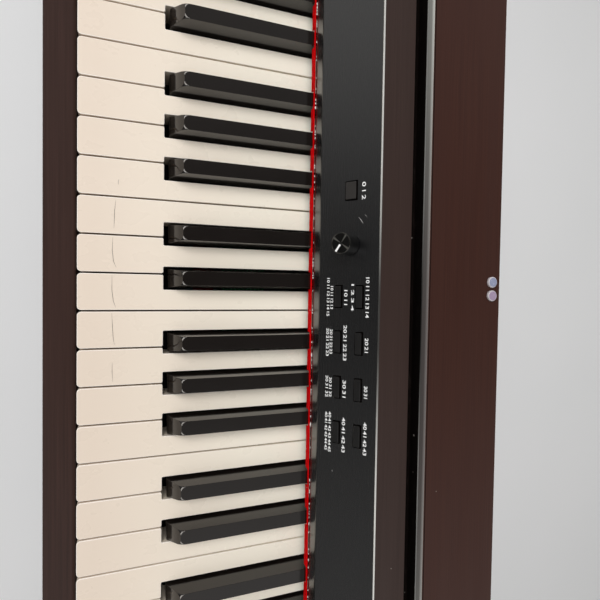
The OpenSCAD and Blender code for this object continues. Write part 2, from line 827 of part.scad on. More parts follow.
module pedal_box() {
    rib_t = 5;
    pedal_slot_w = pedal_arm_w + 6;
    slot_room = 10;                             // below a pedal, for its travel
    rib_drop = 24;                              // how far the ribs reach below the pedals' top
    inside = [[-inner_half + box_wall, box_y0 + box_front_t, box_z0 - cut],
              [inner_half - box_wall, box_y1 - box_wall, box_z1 - box_wall]];
    color([0.16, 0.13, 0.12]) console() difference() {
        union() {
            difference() {
                box_from([-inner_half, box_y0, box_z0], [inner_half, box_y1, box_z1]);
                box_from(inside[0], inside[1]);
                for (k = [-1:1])
                    box_from([pedal_x(k) - pedal_slot_w / 2, box_y0 - cut, pedal_z1 - pedal_t - slot_room],
                             [pedal_x(k) + pedal_slot_w / 2, box_y0 + box_front_t + cut, pedal_z1 + clear]);
            }
            for (x = [-1.5, -0.5, 0.5, 1.5])
                box_from([x * pedal_pitch - rib_t / 2, pedal_pivot_y - 9, pedal_z1 - rib_drop],
                         [x * pedal_pitch + rib_t / 2, box_y1 - box_wall, box_z1 - box_wall]);
        }
        rod_x(-1.5 * pedal_pitch - rib_t, 1.5 * pedal_pitch + rib_t, pedal_pivot_y, pedal_pivot_z,
              pedal_rod_r + fit);
        translate([0, box_y0 + box_front_t / 2, box_z0 - cut])
            cylinder(h = foot_socket + cut, r = foot_stem_r + fit);
        bolt_holes();
    }
}

// A pedal: round-nosed tread in front, straight arm through the box to its pivot
module pedal(k) {
    x = pedal_x(k);
    nose_y = box_y0 - pedal_reach + pedal_w / 2;
    color([0.75, 0.62, 0.35]) console() difference() {
        translate([0, 0, pedal_z1 - pedal_t]) linear_extrude(height = pedal_t) union() {
            translate([x, nose_y]) circle(r = pedal_w / 2);
            translate([x - pedal_w / 2, nose_y]) square([pedal_w, pedal_reach - pedal_w / 2 - 10]);
            translate([x - pedal_arm_w / 2, nose_y]) square([pedal_arm_w, pedal_pivot_y + 6 - nose_y]);
        }
        rod_x(x - pedal_w, x + pedal_w, pedal_pivot_y, pedal_pivot_z, pedal_rod_r + fit);
    }
}

module pedal_pivot_rod() {
    half = 1.5 * pedal_pitch + 2.5;
    color("silver") console() rod_x(-half, half, pedal_pivot_y, pedal_pivot_z, pedal_rod_r);
}

foot_stem_r = 4;
foot_socket = 26;

module support_foot() {
    disc_h = 8;
    color([0.1, 0.1, 0.1]) console() translate([0, box_y0 + box_front_t / 2, floor_z]) union() {
        cylinder(h = disc_h, r = 15);
        cylinder(h = pedal_box_clear + 18, r = foot_stem_r);
    }
}

side_panel(1);  // left_side_panel
side_panel(0);  // right_side_panel
foot_block(1);  // left_foot_block
foot_block(0);  // right_foot_block
key_bed();
key_slip();
end_block(1);  // left_end_block
end_block(0);  // right_end_block
rear_board();
top_front_rail();
top_board();
clear_bumpers();
cabinet_bolts();
control_panel();
panel_trim();
name_felt();
volume_knob();
power_button();
function_button(0, 0);  // front_row_button_1
function_button(1, 0);  // front_row_button_2
function_button(2, 0);  // front_row_button_3
function_button(3, 0);  // front_row_button_4
function_button(0, 1);  // rear_row_button_1
function_button(1, 1);  // rear_row_button_2
function_button(2, 1);  // rear_row_button_3
function_button(3, 1);  // rear_row_button_4
button_board();
main_board();
amplifier_board();
speakers();
speaker_grilles();
rear_jack_plate();
headphone_box();
modesty_panel();
pedal_box();
pedal(-1);  // left_pedal
pedal(0);  // middle_pedal
pedal(1);  // right_pedal
pedal_pivot_rod();
support_foot();
key_frame();
key_pivot_rod();
contact_board();
key_stop_felts();
bass_white_keys();
bass_black_keys();
treble_white_keys();
treble_black_keys();
white_keys(middle_c, middle_c);  // key_c
black_keys(middle_c, middle_c);  // key_c_sharp
white_keys(middle_c + 1, middle_c + 1);  // key_d
black_keys(middle_c + 1, middle_c + 1);  // key_d_sharp
white_keys(middle_c + 2, middle_c + 2);  // key_e
white_keys(middle_c + 3, middle_c + 3);  // key_f
black_keys(middle_c + 3, middle_c + 3);  // key_f_sharp
white_keys(middle_c + 4, middle_c + 4);  // key_g
black_keys(middle_c + 4, middle_c + 4);  // key_g_sharp
white_keys(middle_c + 5, middle_c + 5);  // key_a
black_keys(middle_c + 5, middle_c + 5);  // key_a_sharp
white_keys(middle_c + 6, middle_c + 6);  // key_b
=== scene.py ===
"""Digital piano on its stand: the pieces that show, their finishes, the light and the camera."""
from math import atan2, pi, radians
import random
import bmesh
import bpy
from mathutils import Matrix, Vector


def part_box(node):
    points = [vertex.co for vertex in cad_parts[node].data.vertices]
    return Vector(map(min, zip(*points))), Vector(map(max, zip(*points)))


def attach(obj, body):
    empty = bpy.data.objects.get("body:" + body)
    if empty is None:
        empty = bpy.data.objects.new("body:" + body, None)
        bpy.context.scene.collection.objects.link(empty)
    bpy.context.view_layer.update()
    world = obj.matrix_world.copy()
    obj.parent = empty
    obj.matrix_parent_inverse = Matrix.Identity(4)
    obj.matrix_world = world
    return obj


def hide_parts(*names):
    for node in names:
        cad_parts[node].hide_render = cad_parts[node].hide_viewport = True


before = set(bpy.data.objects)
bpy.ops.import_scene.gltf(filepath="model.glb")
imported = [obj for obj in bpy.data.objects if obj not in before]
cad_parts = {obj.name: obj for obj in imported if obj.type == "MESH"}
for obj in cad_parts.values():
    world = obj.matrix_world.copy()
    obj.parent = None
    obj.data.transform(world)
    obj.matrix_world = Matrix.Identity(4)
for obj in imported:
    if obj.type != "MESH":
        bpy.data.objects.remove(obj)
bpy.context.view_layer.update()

MM = 0.001
BEHIND, UP = Vector((0, 1, 0)), Vector((0, 0, 1))


# ---------- Shaping by hand ----------

def only(*pieces):
    """Nothing but these pieces is selected, and the first of them is active."""
    bpy.ops.object.select_all(action="DESELECT")
    for piece in pieces:
        piece.select_set(True)
    bpy.context.view_layer.objects.active = pieces[0]


def named(piece, name):
    """Gives a piece and its mesh one name."""
    piece.name = name
    piece.data.name = name
    return piece


def settle(piece, at=Matrix.Identity(4)):
    """Moves the piece by a matrix, then puts its place into its mesh."""
    only(piece)
    piece.matrix_world = at @ piece.matrix_world
    bpy.ops.object.transform_apply(location=True, rotation=True, scale=True)
    return piece


def block(name, low, high):
    """A box between two corners."""
    low, high = Vector(low), Vector(high)
    bpy.ops.object.select_all(action="DESELECT")
    bpy.ops.mesh.primitive_cube_add(size=1, location=(low + high) / 2, scale=high - low)
    return named(settle(bpy.context.object), name)


def drum(name, foot, radius, height, sides=48):
    """A round bar that stands on its foot point."""
    bpy.ops.object.select_all(action="DESELECT")
    bpy.ops.mesh.primitive_cylinder_add(
        vertices=sides, radius=radius, depth=height, location=Vector(foot) + UP * (height / 2))
    return named(settle(bpy.context.object), name)


def laid_against(piece, place, turn):
    """Takes a piece that was shaped face up at the origin to its place, tipped forward by an angle."""
    return settle(piece, Matrix.Translation(place) @ Matrix.Rotation(turn, 4, "X"))


def copy_of(node, name):
    """A copy of a CAD solid to work on: its loose triangles are merged into whole faces."""
    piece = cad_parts[node].copy()
    piece.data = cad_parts[node].data.copy()
    bpy.context.scene.collection.objects.link(piece)
    for key in [k for k in piece.keys() if k.startswith("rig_")]:
        del piece[key]
    piece.parent = None
    piece.matrix_world = Matrix.Identity(4)
    piece.data.materials.clear()
    named(piece, name)
    work_on(piece)
    bpy.ops.mesh.select_all(action="SELECT")
    bpy.ops.mesh.remove_doubles(threshold=0.002 * MM)
    bpy.ops.mesh.dissolve_limited(angle_limit=radians(0.5), delimit=set())
    put_down()
    return piece


def twin(piece, name, shift=(0, 0, 0)):
    """A copy with its own mesh, moved by shift."""
    only(piece)
    bpy.ops.object.duplicate(linked=False)
    return named(settle(bpy.context.object, Matrix.Translation(shift)), name)


def joined(name, pieces):
    """Several pieces made into one."""
    only(*pieces)
    if len(pieces) > 1:
        bpy.ops.object.join()
    return named(bpy.context.object, name)


def work_on(piece):
    """Takes one piece in hand: the operators that shape it act on it until it is put down."""
    only(piece)
    bpy.ops.object.mode_set(mode="EDIT")


def put_down():
    """Ends the work on the piece in hand."""
    bpy.ops.object.mode_set(mode="OBJECT")


def pick(piece, kind, test):
    """Selects what passes the test among the faces, the edges or the corner points of the piece in hand."""
    bpy.ops.mesh.select_mode(type=kind)
    bpy.ops.mesh.select_all(action="DESELECT")
    mesh = bmesh.from_edit_mesh(piece.data)
    for part in {"FACE": mesh.faces, "EDGE": mesh.edges, "VERT": mesh.verts}[kind]:
        if test(part):
            part.select_set(True)
    if kind == "VERT":
        mesh.select_flush_mode()
    bmesh.update_edit_mesh(piece.data)


def pick_faces(piece, test):
    """Selects the faces whose middle and normal pass the test."""
    pick(piece, "FACE", lambda face: test(face.calc_center_median(), face.normal))


def pick_edges(piece, test, sharper=0):
    """Selects the edges whose ends pass the test and whose faces meet at more than an angle in degrees."""
    sharp = lambda edge: not sharper or edge.calc_face_angle(0) > radians(sharper)
    pick(piece, "EDGE", lambda edge: sharp(edge) and test(edge.verts[0].co, edge.verts[1].co))


def pick_points(piece, test):
    """Selects the corner points that pass the test."""
    pick(piece, "VERT", lambda point: test(point.co))


def near(a, b):
    """Whether two lengths agree to a hundredth of a millimetre."""
    return abs(a - b) < 0.01 * MM


def cut_at(piece, point, normal):
    """Cuts every face along a plane, and keeps both sides."""
    bpy.ops.mesh.select_all(action="SELECT")
    bpy.ops.mesh.bisect(plane_co=point, plane_no=normal)


def push(shift):
    """Extrudes what is selected."""
    bpy.ops.mesh.extrude_region_move(TRANSFORM_OT_translate={"value": shift})


def longer_than(length):
    """A test for edges over a length."""
    return lambda a, b: (a - b).length > length


def at_height(z):
    """A test for edges that lie at one height."""
    return lambda a, b: near(a.z, z) and near(b.z, z)


def round_edges(piece, radius, steps, test, sharper=0):
    """Rounds the edges whose two ends pass the test, on the piece in hand."""
    pick_edges(piece, test, sharper)
    bpy.ops.mesh.bevel(offset=radius, offset_type="OFFSET", segments=steps, profile=0.5,
                       affect="EDGES", clamp_overlap=True)


def round_sharp(piece, radius, steps, test=longer_than(0)):
    """Takes a piece in hand and rounds its sharp edges whose two ends pass the test."""
    work_on(piece)
    round_edges(piece, radius, steps, test, sharper=30)
    put_down()


def even_shading(piece, angle=40):
    """Smooth shading across rounded edges, with the large faces kept flat."""
    only(piece)
    bpy.ops.object.shade_smooth_by_angle(angle=radians(angle))
    modifier = piece.modifiers.new("flat faces stay flat", "WEIGHTED_NORMAL")
    modifier.keep_sharp = True
    modifier.weight = 80
    bpy.ops.object.modifier_apply(modifier=modifier.name)


def fit(piece, body, material, slot, *nodes, angle=40):
    """Finishes a piece: shading, material, the body that it rides on and the CAD nodes that it stands for."""
    even_shading(piece, angle)
    piece.data.materials.clear()
    piece.data.materials.append(material)
    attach(piece, body)
    if nodes:
        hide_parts(*nodes)
    return piece


def paint(piece, material, test):
    """A second finish on the faces whose middle and normal pass the test."""
    piece.data.materials.append(material)
    for face in piece.data.polygons:
        if test(face.center, face.normal):
            face.material_index = len(piece.data.materials) - 1


# ---------- Finishes ----------

def colour(code):
    """An sRGB hex code as linear light."""
    parts = [int(code[k:k + 2], 16) / 255 for k in (1, 3, 5)]
    return [p / 12.92 if p <= 0.04045 else ((p + 0.055) / 1.055) ** 2.4 for p in parts] + [1.0]


def feed(tree, node, inputs):
    """Fills a node's inputs: numbers, lists and hex codes are set, nodes and their outputs are linked."""
    for name, value in inputs.items():
        socket = node.inputs[name] if isinstance(name, int) else \
            next(s for s in node.inputs if s.name == name and s.enabled)
        if isinstance(value, str):
            value = colour(value)
        if isinstance(value, bpy.types.Node):
            value = next(s for s in value.outputs if s.enabled)
        if isinstance(value, bpy.types.NodeSocket):
            tree.links.new(value, socket)
        else:
            socket.default_value = value


def add(tree, kind, inputs=None, **settings):
    """Adds one node with its settings, and fills its inputs."""
    node = tree.nodes.new("ShaderNode" + kind)
    for name, value in settings.items():
        setattr(node, name, value)
    feed(tree, node, inputs or {})
    return node


def material_of(name, constants):
    """A new material and its Principled shader, with constants on the shader's own sockets."""
    material = bpy.data.materials.new(name)
    material.use_nodes = True
    tree = material.node_tree
    shader = tree.nodes["Principled BSDF"]
    feed(tree, shader, constants)
    return material, tree, shader


def patches(tree, size, between=(0.0, 1.0), give=(0.0, 1.0), detail=2.0, roughness=0.5, shift=(0, 0, 0)):
    """Uneven patches of size (x, y, z) in millimetres: heights between two values give another range."""
    where = add(tree, "TexCoord")
    stretch = add(tree, "Mapping", {
        "Vector": where.outputs["Object"], "Location": shift, "Scale": [1 / (s * MM) for s in size]})
    cloud = add(tree, "TexNoise", {
        "Vector": stretch, "Scale": 1.0, "Detail": detail, "Roughness": roughness})
    return add(tree, "MapRange", {
        "Value": cloud, "From Min": between[0], "From Max": between[1], "To Min": give[0], "To Max": give[1]})


def specks(tree, cell, size, share, strength):
    """Dust: small dots, one in some of the cells of a cell-sized grid, both in millimetres."""
    where = add(tree, "TexCoord")
    stretch = add(tree, "Mapping", {"Vector": where.outputs["Object"], "Scale": [1 / (cell * MM)] * 3})
    cells = add(tree, "TexVoronoi", {"Vector": stretch, "Scale": 1.0})
    dot = add(tree, "MapRange", {
        "Value": cells.outputs["Distance"], "From Min": size / cell, "From Max": 0.5 * size / cell})
    chance = add(tree, "SeparateColor", {"Color": cells.outputs["Color"]})
    kept = add(tree, "MapRange", {
        "Value": chance, "From Min": 1 - share, "From Max": 1.001 - share, "To Max": strength})
    return add(tree, "Math", {0: dot, 1: kept}, operation="MULTIPLY")


def from_middle(tree, middle, clear, far):
    """A factor along the keyboard: 0 near a middle place, and 1 from a distance away on both sides."""
    where = add(tree, "TexCoord")
    place = add(tree, "SeparateXYZ", {"Vector": where.outputs["Object"]})
    shifted = add(tree, "Math", {0: place.outputs["X"], 1: middle}, operation="SUBTRACT")
    away = add(tree, "Math", {0: shifted}, operation="ABSOLUTE")
    return add(tree, "MapRange", {"Value": away, "From Min": clear, "From Max": far},
               interpolation_type="SMOOTHSTEP")


def two_tone(name, constants, dark, light, cloud, gloss=None, relief=None):
    """A finish of two tones in patches. Gloss is the range of its roughness over the same patches, and
    relief is a depth in millimetres with patches of its own, or None for the same ones."""
    material, tree, shader = material_of(name, constants)
    spread = patches(tree, **cloud)
    made = {"Base Color": add(tree, "Mix", {"Factor": spread, "A": dark, "B": light}, data_type="RGBA")}
    if gloss:
        made["Roughness"] = patches(tree, **{**cloud, "between": (0.3, 0.7), "give": gloss})
    if relief:
        depth, skin = relief
        height = patches(tree, **skin) if skin else spread
        made["Normal"] = add(tree, "Bump", {"Height": height, "Distance": depth * MM})
    feed(tree, shader, made)
    return material


def cream_abs(name, front, rear, coat):
    """Moulded ABS, polished by use: warm cream, painted paler to the rear as painted light, with soft smudges
    in its gloss.
    """
    material, tree, shader = material_of(name, {"IOR": 1.53, "Coat Weight": coat, "Coat Roughness": 0.12})
    where = add(tree, "TexCoord")
    place = add(tree, "SeparateXYZ", {"Vector": where.outputs["Object"]})
    # Painted light: the cream grows paler towards the rear of each key
    painted_light_rearward = add(tree, "MapRange", {"Value": place.outputs["Y"], "From Min": -0.09, "From Max": 0.045})
    base = add(tree, "Mix", {"Factor": painted_light_rearward, "A": front, "B": rear}, data_type="RGBA")
    shade = patches(tree, (60, 90, 40), (0.1, 1.0), (0.0, 0.35))
    base = add(tree, "Mix", {"Factor": shade, "A": base, "B": "#DDCBB9"}, data_type="RGBA")
    smudge = patches(tree, (14, 20, 14), (0.3, 0.7), (0.24, 0.36), detail=3.0)
    skin = patches(tree, (2.5, 2.5, 2.5))
    relief = add(tree, "Bump", {"Height": skin, "Distance": 0.012 * MM})
    feed(tree, shader, {"Base Color": base, "Roughness": smudge, "Normal": relief})
    return material


def black_abs(name, dark, light):
    """Glossy moulded ABS: near black and a little brown, with fingers' smudges in the gloss."""
    material, tree, shader = material_of(name, {"IOR": 1.62})
    clouds = patches(tree, (25, 40, 25))
    base = add(tree, "Mix", {"Factor": clouds, "A": dark, "B": light}, data_type="RGBA")
    wear = patches(tree, (0.5, 14, 9), (0.72, 0.9), (0.0, 0.06), detail=1.0, shift=(0.4, 2.2, 0.3))
    base = add(tree, "Mix", {"Factor": wear, "A": base, "B": "#8E8A84"}, data_type="RGBA")
    smudge = patches(tree, (8, 14, 8), (0.3, 0.7), (0.1, 0.18), detail=3.0)
    skin = patches(tree, (3, 6, 3))
    relief = add(tree, "Bump", {"Height": skin, "Distance": 0.01 * MM})
    feed(tree, shader, {"Base Color": base, "Roughness": smudge, "Normal": relief})
    return material


def red_felt(name, dark, light):
    """Pressed wool felt: bright red, with short fibres and white lint on it."""
    material, tree, shader = material_of(name, {
        "Roughness": 0.95, "Specular IOR Level": 0.1,
        "Sheen Weight": 0.2, "Sheen Roughness": 0.4, "Sheen Tint": "#FF2A20"})
    fibres = patches(tree, (1.8, 0.35, 0.35), (0.3, 0.7), detail=4.0, roughness=0.7)
    base = add(tree, "Mix", {"Factor": fibres, "A": dark, "B": light}, data_type="RGBA")
    lint = specks(tree, 3.0, 0.5, 0.25, 1.0)
    base = add(tree, "Mix", {"Factor": lint, "A": base, "B": "#E8DAD4"}, data_type="RGBA")
    relief = add(tree, "Bump", {"Height": fibres, "Distance": 0.35 * MM})
    feed(tree, shader, {"Base Color": base, "Normal": relief})
    return material


def brushed_panel():
    """Black anodised aluminium, brushed along the keyboard: dark grey, with fine lines in its satin gloss."""
    material, tree, shader = material_of("brushed_black_aluminium", {"IOR": 2.0})
    # Real brush lines are finer than 0.1 mm: these are wide enough to show
    lines = patches(tree, (30, 0.3, 0.3), (0.25, 0.75), detail=3.0, roughness=0.7)
    base = add(tree, "Mix", {"Factor": lines, "A": "#111112", "B": "#151516"}, data_type="RGBA")
    dust = specks(tree, 9.0, 0.35, 0.2, 0.5)
    base = add(tree, "Mix", {"Factor": dust, "A": base, "B": "#77777A"}, data_type="RGBA")
    gloss = patches(tree, (30, 0.3, 0.3), (0.3, 0.7), (0.24, 0.28), detail=3.0, roughness=0.7)
    relief = add(tree, "Bump", {"Height": lines, "Distance": 0.002 * MM})
    feed(tree, shader, {"Base Color": base, "Roughness": gloss, "Normal": relief})
    return material


def bright_trim():
    """Brushed aluminium in thin satin lacquer: lines along it; its colour is painted bright towards both ends
    and dark in the middle, as a painted reflection.
    """
    material, tree, shader = material_of("brushed_lacquered_aluminium", {"Metallic": 0.5, "IOR": 1.5})
    # As on the panel, the brush lines are wide enough to show
    # Painted reflection: the base is painted pale towards both ends and dark in the middle
    painted_reflection_to_ends = from_middle(tree, 5 * MM, 10 * MM, 100 * MM)
    base = add(tree, "Mix", {"Factor": painted_reflection_to_ends, "A": "#4C4B49", "B": "#F2F1EC"}, data_type="RGBA")
    lines = patches(tree, (40, 0.3, 0.3), (0.4, 0.8), (0.0, 0.3), detail=3.0, roughness=0.6)
    base = add(tree, "Mix", {"Factor": lines, "A": base, "B": "#8F8E8A"}, data_type="RGBA")
    gloss = patches(tree, (40, 0.3, 0.3), (0.3, 0.7), (0.22, 0.38), detail=3.0, roughness=0.6)
    relief = add(tree, "Bump", {"Height": lines, "Distance": 0.01 * MM})
    feed(tree, shader, {"Base Color": base, "Roughness": gloss, "Normal": relief})
    return material


def wood_foil(name, dark, light, grain, dusty=0.0):
    """Printed rosewood foil on board: dark brown with faint long grain and a satin gloss."""
    material, tree, shader = material_of(name, {"IOR": 1.5, "Specular IOR Level": 0.35})
    streaks = patches(tree, grain, (0.2, 0.8), detail=4.0, roughness=0.65)
    base = add(tree, "Mix", {"Factor": streaks, "A": dark, "B": light}, data_type="RGBA")
    # The clouds are twice as long as the grain and many times as wide
    broad = [g * 2.2 if g > 20 else g * 14 for g in grain]
    clouds = patches(tree, broad, (0.4, 0.7), (0.0, 0.2))
    base = add(tree, "Mix", {"Factor": clouds, "A": base, "B": dark}, data_type="RGBA")
    if dusty:
        dust = specks(tree, 16, 0.45, dusty, 0.7)
        base = add(tree, "Mix", {"Factor": dust, "A": base, "B": "#B8AFA8"}, data_type="RGBA")
    gloss = patches(tree, broad, (0.3, 0.7), (0.36, 0.48))
    relief = add(tree, "Bump", {"Height": streaks, "Distance": 0.03 * MM})
    feed(tree, shader, {"Base Color": base, "Roughness": gloss, "Normal": relief})
    return material


def edge_band():
    """Satin PVC edging: grey-green, painted dark in the middle and pale towards both ends as a painted
    reflection.
    """
    material, tree, shader = material_of("satin_pvc_edging", {"IOR": 1.6})
    # Painted reflection: the base is painted dark in the middle and pale towards both ends
    painted_reflection_to_ends = from_middle(tree, 40 * MM, 20 * MM, 350 * MM)
    base = add(tree, "Mix", {"Factor": painted_reflection_to_ends, "A": "#6A6462", "B": "#CDCFC8"}, data_type="RGBA")
    # Real drawing lines are finer than 0.2 mm: these are wide enough to show
    drawn = patches(tree, (60, 0.5, 0.5), (0.3, 0.8), (0.0, 0.3), detail=3.0, roughness=0.6)
    base = add(tree, "Mix", {"Factor": drawn, "A": base, "B": "#4E4B49"}, data_type="RGBA")
    gloss = patches(tree, (60, 0.5, 0.5), (0.3, 0.7), (0.3, 0.42), detail=3.0, roughness=0.6)
    feed(tree, shader, {"Base Color": base, "Roughness": gloss})
    return material


def shade_and_glue_black():
    """Dull black with grey dust settled in it: painted shade in the slot, in the panel's holes, at the lip's
    foot and on the button sides, and the dark glue line of the edging.
    """
    material, tree, shader = material_of("dull_black_painted_shade_and_glue", {"IOR": 1.45, "Specular IOR Level": 0.2})
    dust = patches(tree, (9, 3, 3), (0.55, 0.85), (0.0, 0.25), detail=4.0, roughness=0.6)
    base = add(tree, "Mix", {"Factor": dust, "A": "#0A0605", "B": "#3A332F"}, data_type="RGBA")
    crumbs = specks(tree, 8, 0.9, 0.3, 0.7)
    base = add(tree, "Mix", {"Factor": crumbs, "A": base, "B": "#A59E98"}, data_type="RGBA")
    gloss = patches(tree, (9, 3, 3), (0.5, 0.8), (0.8, 0.95), detail=4.0, roughness=0.6)
    feed(tree, shader, {"Base Color": base, "Roughness": gloss})
    return material


def matt_abs(name, dark, light, roughness):
    """Moulded ABS with a spark-eroded texture: a matt skin of dimples, drawn large enough to show."""
    return two_tone(name, {"IOR": 1.52}, dark, light, {"size": [12] * 3},
                    (roughness - 0.06, roughness + 0.06), (0.04, {"size": [0.6] * 3, "roughness": 0.6}))


def smooth_anodised():
    """Black anodised aluminium, turned smooth and not brushed: near black, with a clear soft gloss."""
    return two_tone("dark_anodised_knob_side", {"IOR": 1.9}, "#0B0B0B", "#131313", {"size": [12] * 3},
                    (0.16, 0.28), (0.04, {"size": [0.4] * 3, "roughness": 0.6}))


def spun_metal():
    """Dark anodised aluminium, turned on a lathe, with a gloss that follows the turning: four pale rays from
    the middle are painted into its colour as painted glints.
    """
    material, tree, shader = material_of("spun_dark_aluminium", {
        "Metallic": 1.0, "Anisotropic": 0.8, "Roughness": 0.3})
    where = add(tree, "TexCoord")
    turn = add(tree, "SeparateXYZ", {"Vector": where.outputs["UV"]})
    quarter = add(tree, "Math", {0: turn.outputs["X"], 1: 1 / 8}, operation="PINGPONG")
    # Painted glints: four pale rays, a quarter turn apart, are painted into the colour
    painted_glint_rays = add(tree, "MapRange", {"Value": quarter, "From Min": 0.03, "From Max": 0.0},
              interpolation_type="SMOOTHSTEP")
    turns = patches(tree, (0.5, 0.5, 0.5))
    base = add(tree, "Mix", {"Factor": turns, "A": "#303030", "B": "#454544"}, data_type="RGBA")
    base = add(tree, "Mix", {"Factor": painted_glint_rays, "A": base, "B": "#B9B8B2"}, data_type="RGBA")
    along_turns = add(tree, "Tangent", direction_type="UV_MAP")
    feed(tree, shader, {"Base Color": base, "Tangent": along_turns})
    return material


def clear_pu(name, dark, light):
    """Cast polyurethane, clear over its glue: a pale milky drop in two tones of the given colours, which
    carry its painted highlight and painted reflection.
    """
    constants = {"IOR": 1.49, "Transmission Weight": 0.2, "Coat Weight": 0.6, "Coat Roughness": 0.08}
    return two_tone(name, constants, dark, light, {"size": [2.5] * 3}, (0.12, 0.3))


def plated_metal(name, dark, light, roughness):
    """Plated or blackened metal: a cool sheen with faint drawn lines and stains."""
    return two_tone(name, {"Metallic": 1.0}, dark, light, {"size": [6] * 3, "detail": 3.0},
                    (roughness - 0.08, roughness + 0.1), (0.01, {"size": (8, 0.4, 8)}))


def polished_brass():
    """Lacquered brass: warm gold, with fine scuffs where shoes rub."""
    material, tree, shader = material_of("lacquered_brass", {"Metallic": 1.0, "Coat Weight": 0.3})
    stains = patches(tree, (20, 20, 20), detail=3.0)
    base = add(tree, "Mix", {"Factor": stains, "A": "#B78A3E", "B": "#D9B25F"}, data_type="RGBA")
    scuffs = patches(tree, (1.2, 14, 4), (0.35, 0.75), (0.14, 0.42), detail=4.0, roughness=0.7)
    relief = add(tree, "Bump", {"Height": scuffs, "Distance": 0.03 * MM})
    feed(tree, shader, {"Base Color": base, "Roughness": scuffs, "Normal": relief})
    return material


def solder_mask():
    """Green solder mask over copper tracks: glossy, with lighter lines where the tracks run."""
    material, tree, shader = material_of("green_circuit_board", {"IOR": 1.5, "Roughness": 0.35})
    where = add(tree, "TexCoord")
    tracks = add(tree, "TexBrick", {
        "Vector": where.outputs["Object"], "Scale": 1 / (12 * MM), "Mortar Size": 0.04,
        "Color1": "#0C4A2C", "Color2": "#0F5533", "Mortar": "#2F8455"})
    relief = add(tree, "Bump", {"Height": tracks.outputs["Fac"], "Distance": 0.05 * MM})
    feed(tree, shader, {"Base Color": tracks, "Normal": relief})
    return material


def rubber():
    """Moulded black rubber: dull, greyed by dust in its pores."""
    pores = {"size": [0.8] * 3, "detail": 3.0}
    return two_tone("moulded_rubber", {"IOR": 1.5}, "#151515", "#2A2927", pores, (0.75, 0.95), (0.08, None))


def paper_cone():
    """Pressed paper: dull black with long fibres."""
    fibres = {"size": (4, 0.6, 4), "detail": 4.0, "roughness": 0.7}
    return two_tone("pressed_paper", {"Roughness": 0.9}, "#101010", "#262523", fibres, relief=(0.1, None))


def dry_layer(name, dark, light):
    """Ink, pencil, scuffs and lint: dry and thinner in spots, so that the tone varies a little."""
    return two_tone(name, {"Roughness": 0.6}, dark, light, {"size": [0.5] * 3}, relief=(0.01, None))


def floor_paint():
    """Painted floor: pale grey and faintly uneven."""
    return two_tone("pale_floor_paint", {}, "#F6F7F8", "#FBFBFC", {"size": [400] * 3}, (0.6, 0.75))


# Key tops, painted paler towards the rear as painted light
CREAM = cream_abs("cream_abs_key_tops", "#E4D5C5", "#FFFAEA", 0.15)
# Paler cream for the rounded edges of the white keys: painted highlights
CREAM_PAINTED_HIGHLIGHT = cream_abs("cream_abs_painted_edge_highlights", "#FBF3EA", "#FBF6EA", 0.4)
BLACK = black_abs("black_abs_key_caps", "#120E0C", "#191412")
# Pale grey for thin arcs at the black keys' front corners: painted highlights
BLACK_PAINTED_HIGHLIGHT = black_abs("black_abs_painted_corner_highlights", "#8A8682", "#A5A19C")
FELT = red_felt("red_wool_felt", "#C80006", "#F80610")
STOP_FELT = red_felt("maroon_stop_felt", "#5A0A10", "#7A141C")
PANEL = brushed_panel()
# Bright trim, painted pale towards both ends as a painted reflection
TRIM = bright_trim()
RAIL_FOIL = wood_foil("rosewood_foil_rail", "#2F2320", "#3A2C28", (90, 0.8, 0.8), 0.1)
TOP_FOIL = wood_foil("rosewood_foil_top", "#321B16", "#3E231B", (90, 0.9, 0.9), 0.18)
CABINET_FOIL = wood_foil("rosewood_foil_boards", "#2B1D19", "#3E2A25", (120, 1.4, 1.4))
SIDE_FOIL = wood_foil("rosewood_foil_sides", "#2B1D19", "#3E2A25", (1.4, 1.4, 120))
FOOT_FOIL = wood_foil("rosewood_foil_feet", "#2B1D19", "#3E2A25", (1.4, 120, 1.4))
# Edging, painted dark in the middle as a painted reflection
EDGING = edge_band()
# Dull black: painted shade in the slot, holes and gaps, and the edging's glue line
SHADE_AND_GLUE_BLACK = shade_and_glue_black()
BUTTON = matt_abs("matt_abs_buttons", "#151515", "#1E1D1D", 0.36)
# The buttons' matt plastic painted a lighter grey: painted light on the power button's face
POWER_ABS_PAINTED_LIGHT = matt_abs("matt_abs_power_button_painted_light", "#2A2827", "#353230", 0.36)
HOUSING = matt_abs("matt_abs_housings", "#1A1A1A", "#242423", 0.5)
FRAME_ABS = matt_abs("grey_abs_key_frame", "#3A3B3E", "#45464A", 0.55)
# Knob face, with painted glint rays
SPUN = spun_metal()
KNOB_SIDE = smooth_anodised()
BOLT = plated_metal("blackened_steel", "#232323", "#34322F", 0.4)
ROD = plated_metal("zinc_plated_steel", "#8F9296", "#B5B8BA", 0.3)
KNOB_RIM = plated_metal("polished_dark_rim", "#5C5B58", "#6E6D69", 0.22)
NICKEL = plated_metal("nickel_plated_brass", "#B4B2AC", "#D2D0CA", 0.2)
BRASS = polished_brass()
BOARD_GREEN = solder_mask()
RUBBER = rubber()
PAPER = paper_cone()
INK = dry_layer("white_printing_ink", "#EDEDEB", "#FFFFFF")
LINT = dry_layer("white_cotton_lint", "#E6E1DC", "#FFFCF8")
PENCIL = dry_layer("soft_pencil", "#6E635C", "#8C8078")
SCUFF = dry_layer("pale_scuff", "#A5A4A1", "#C2C1C0")


# ---------- Keys ----------

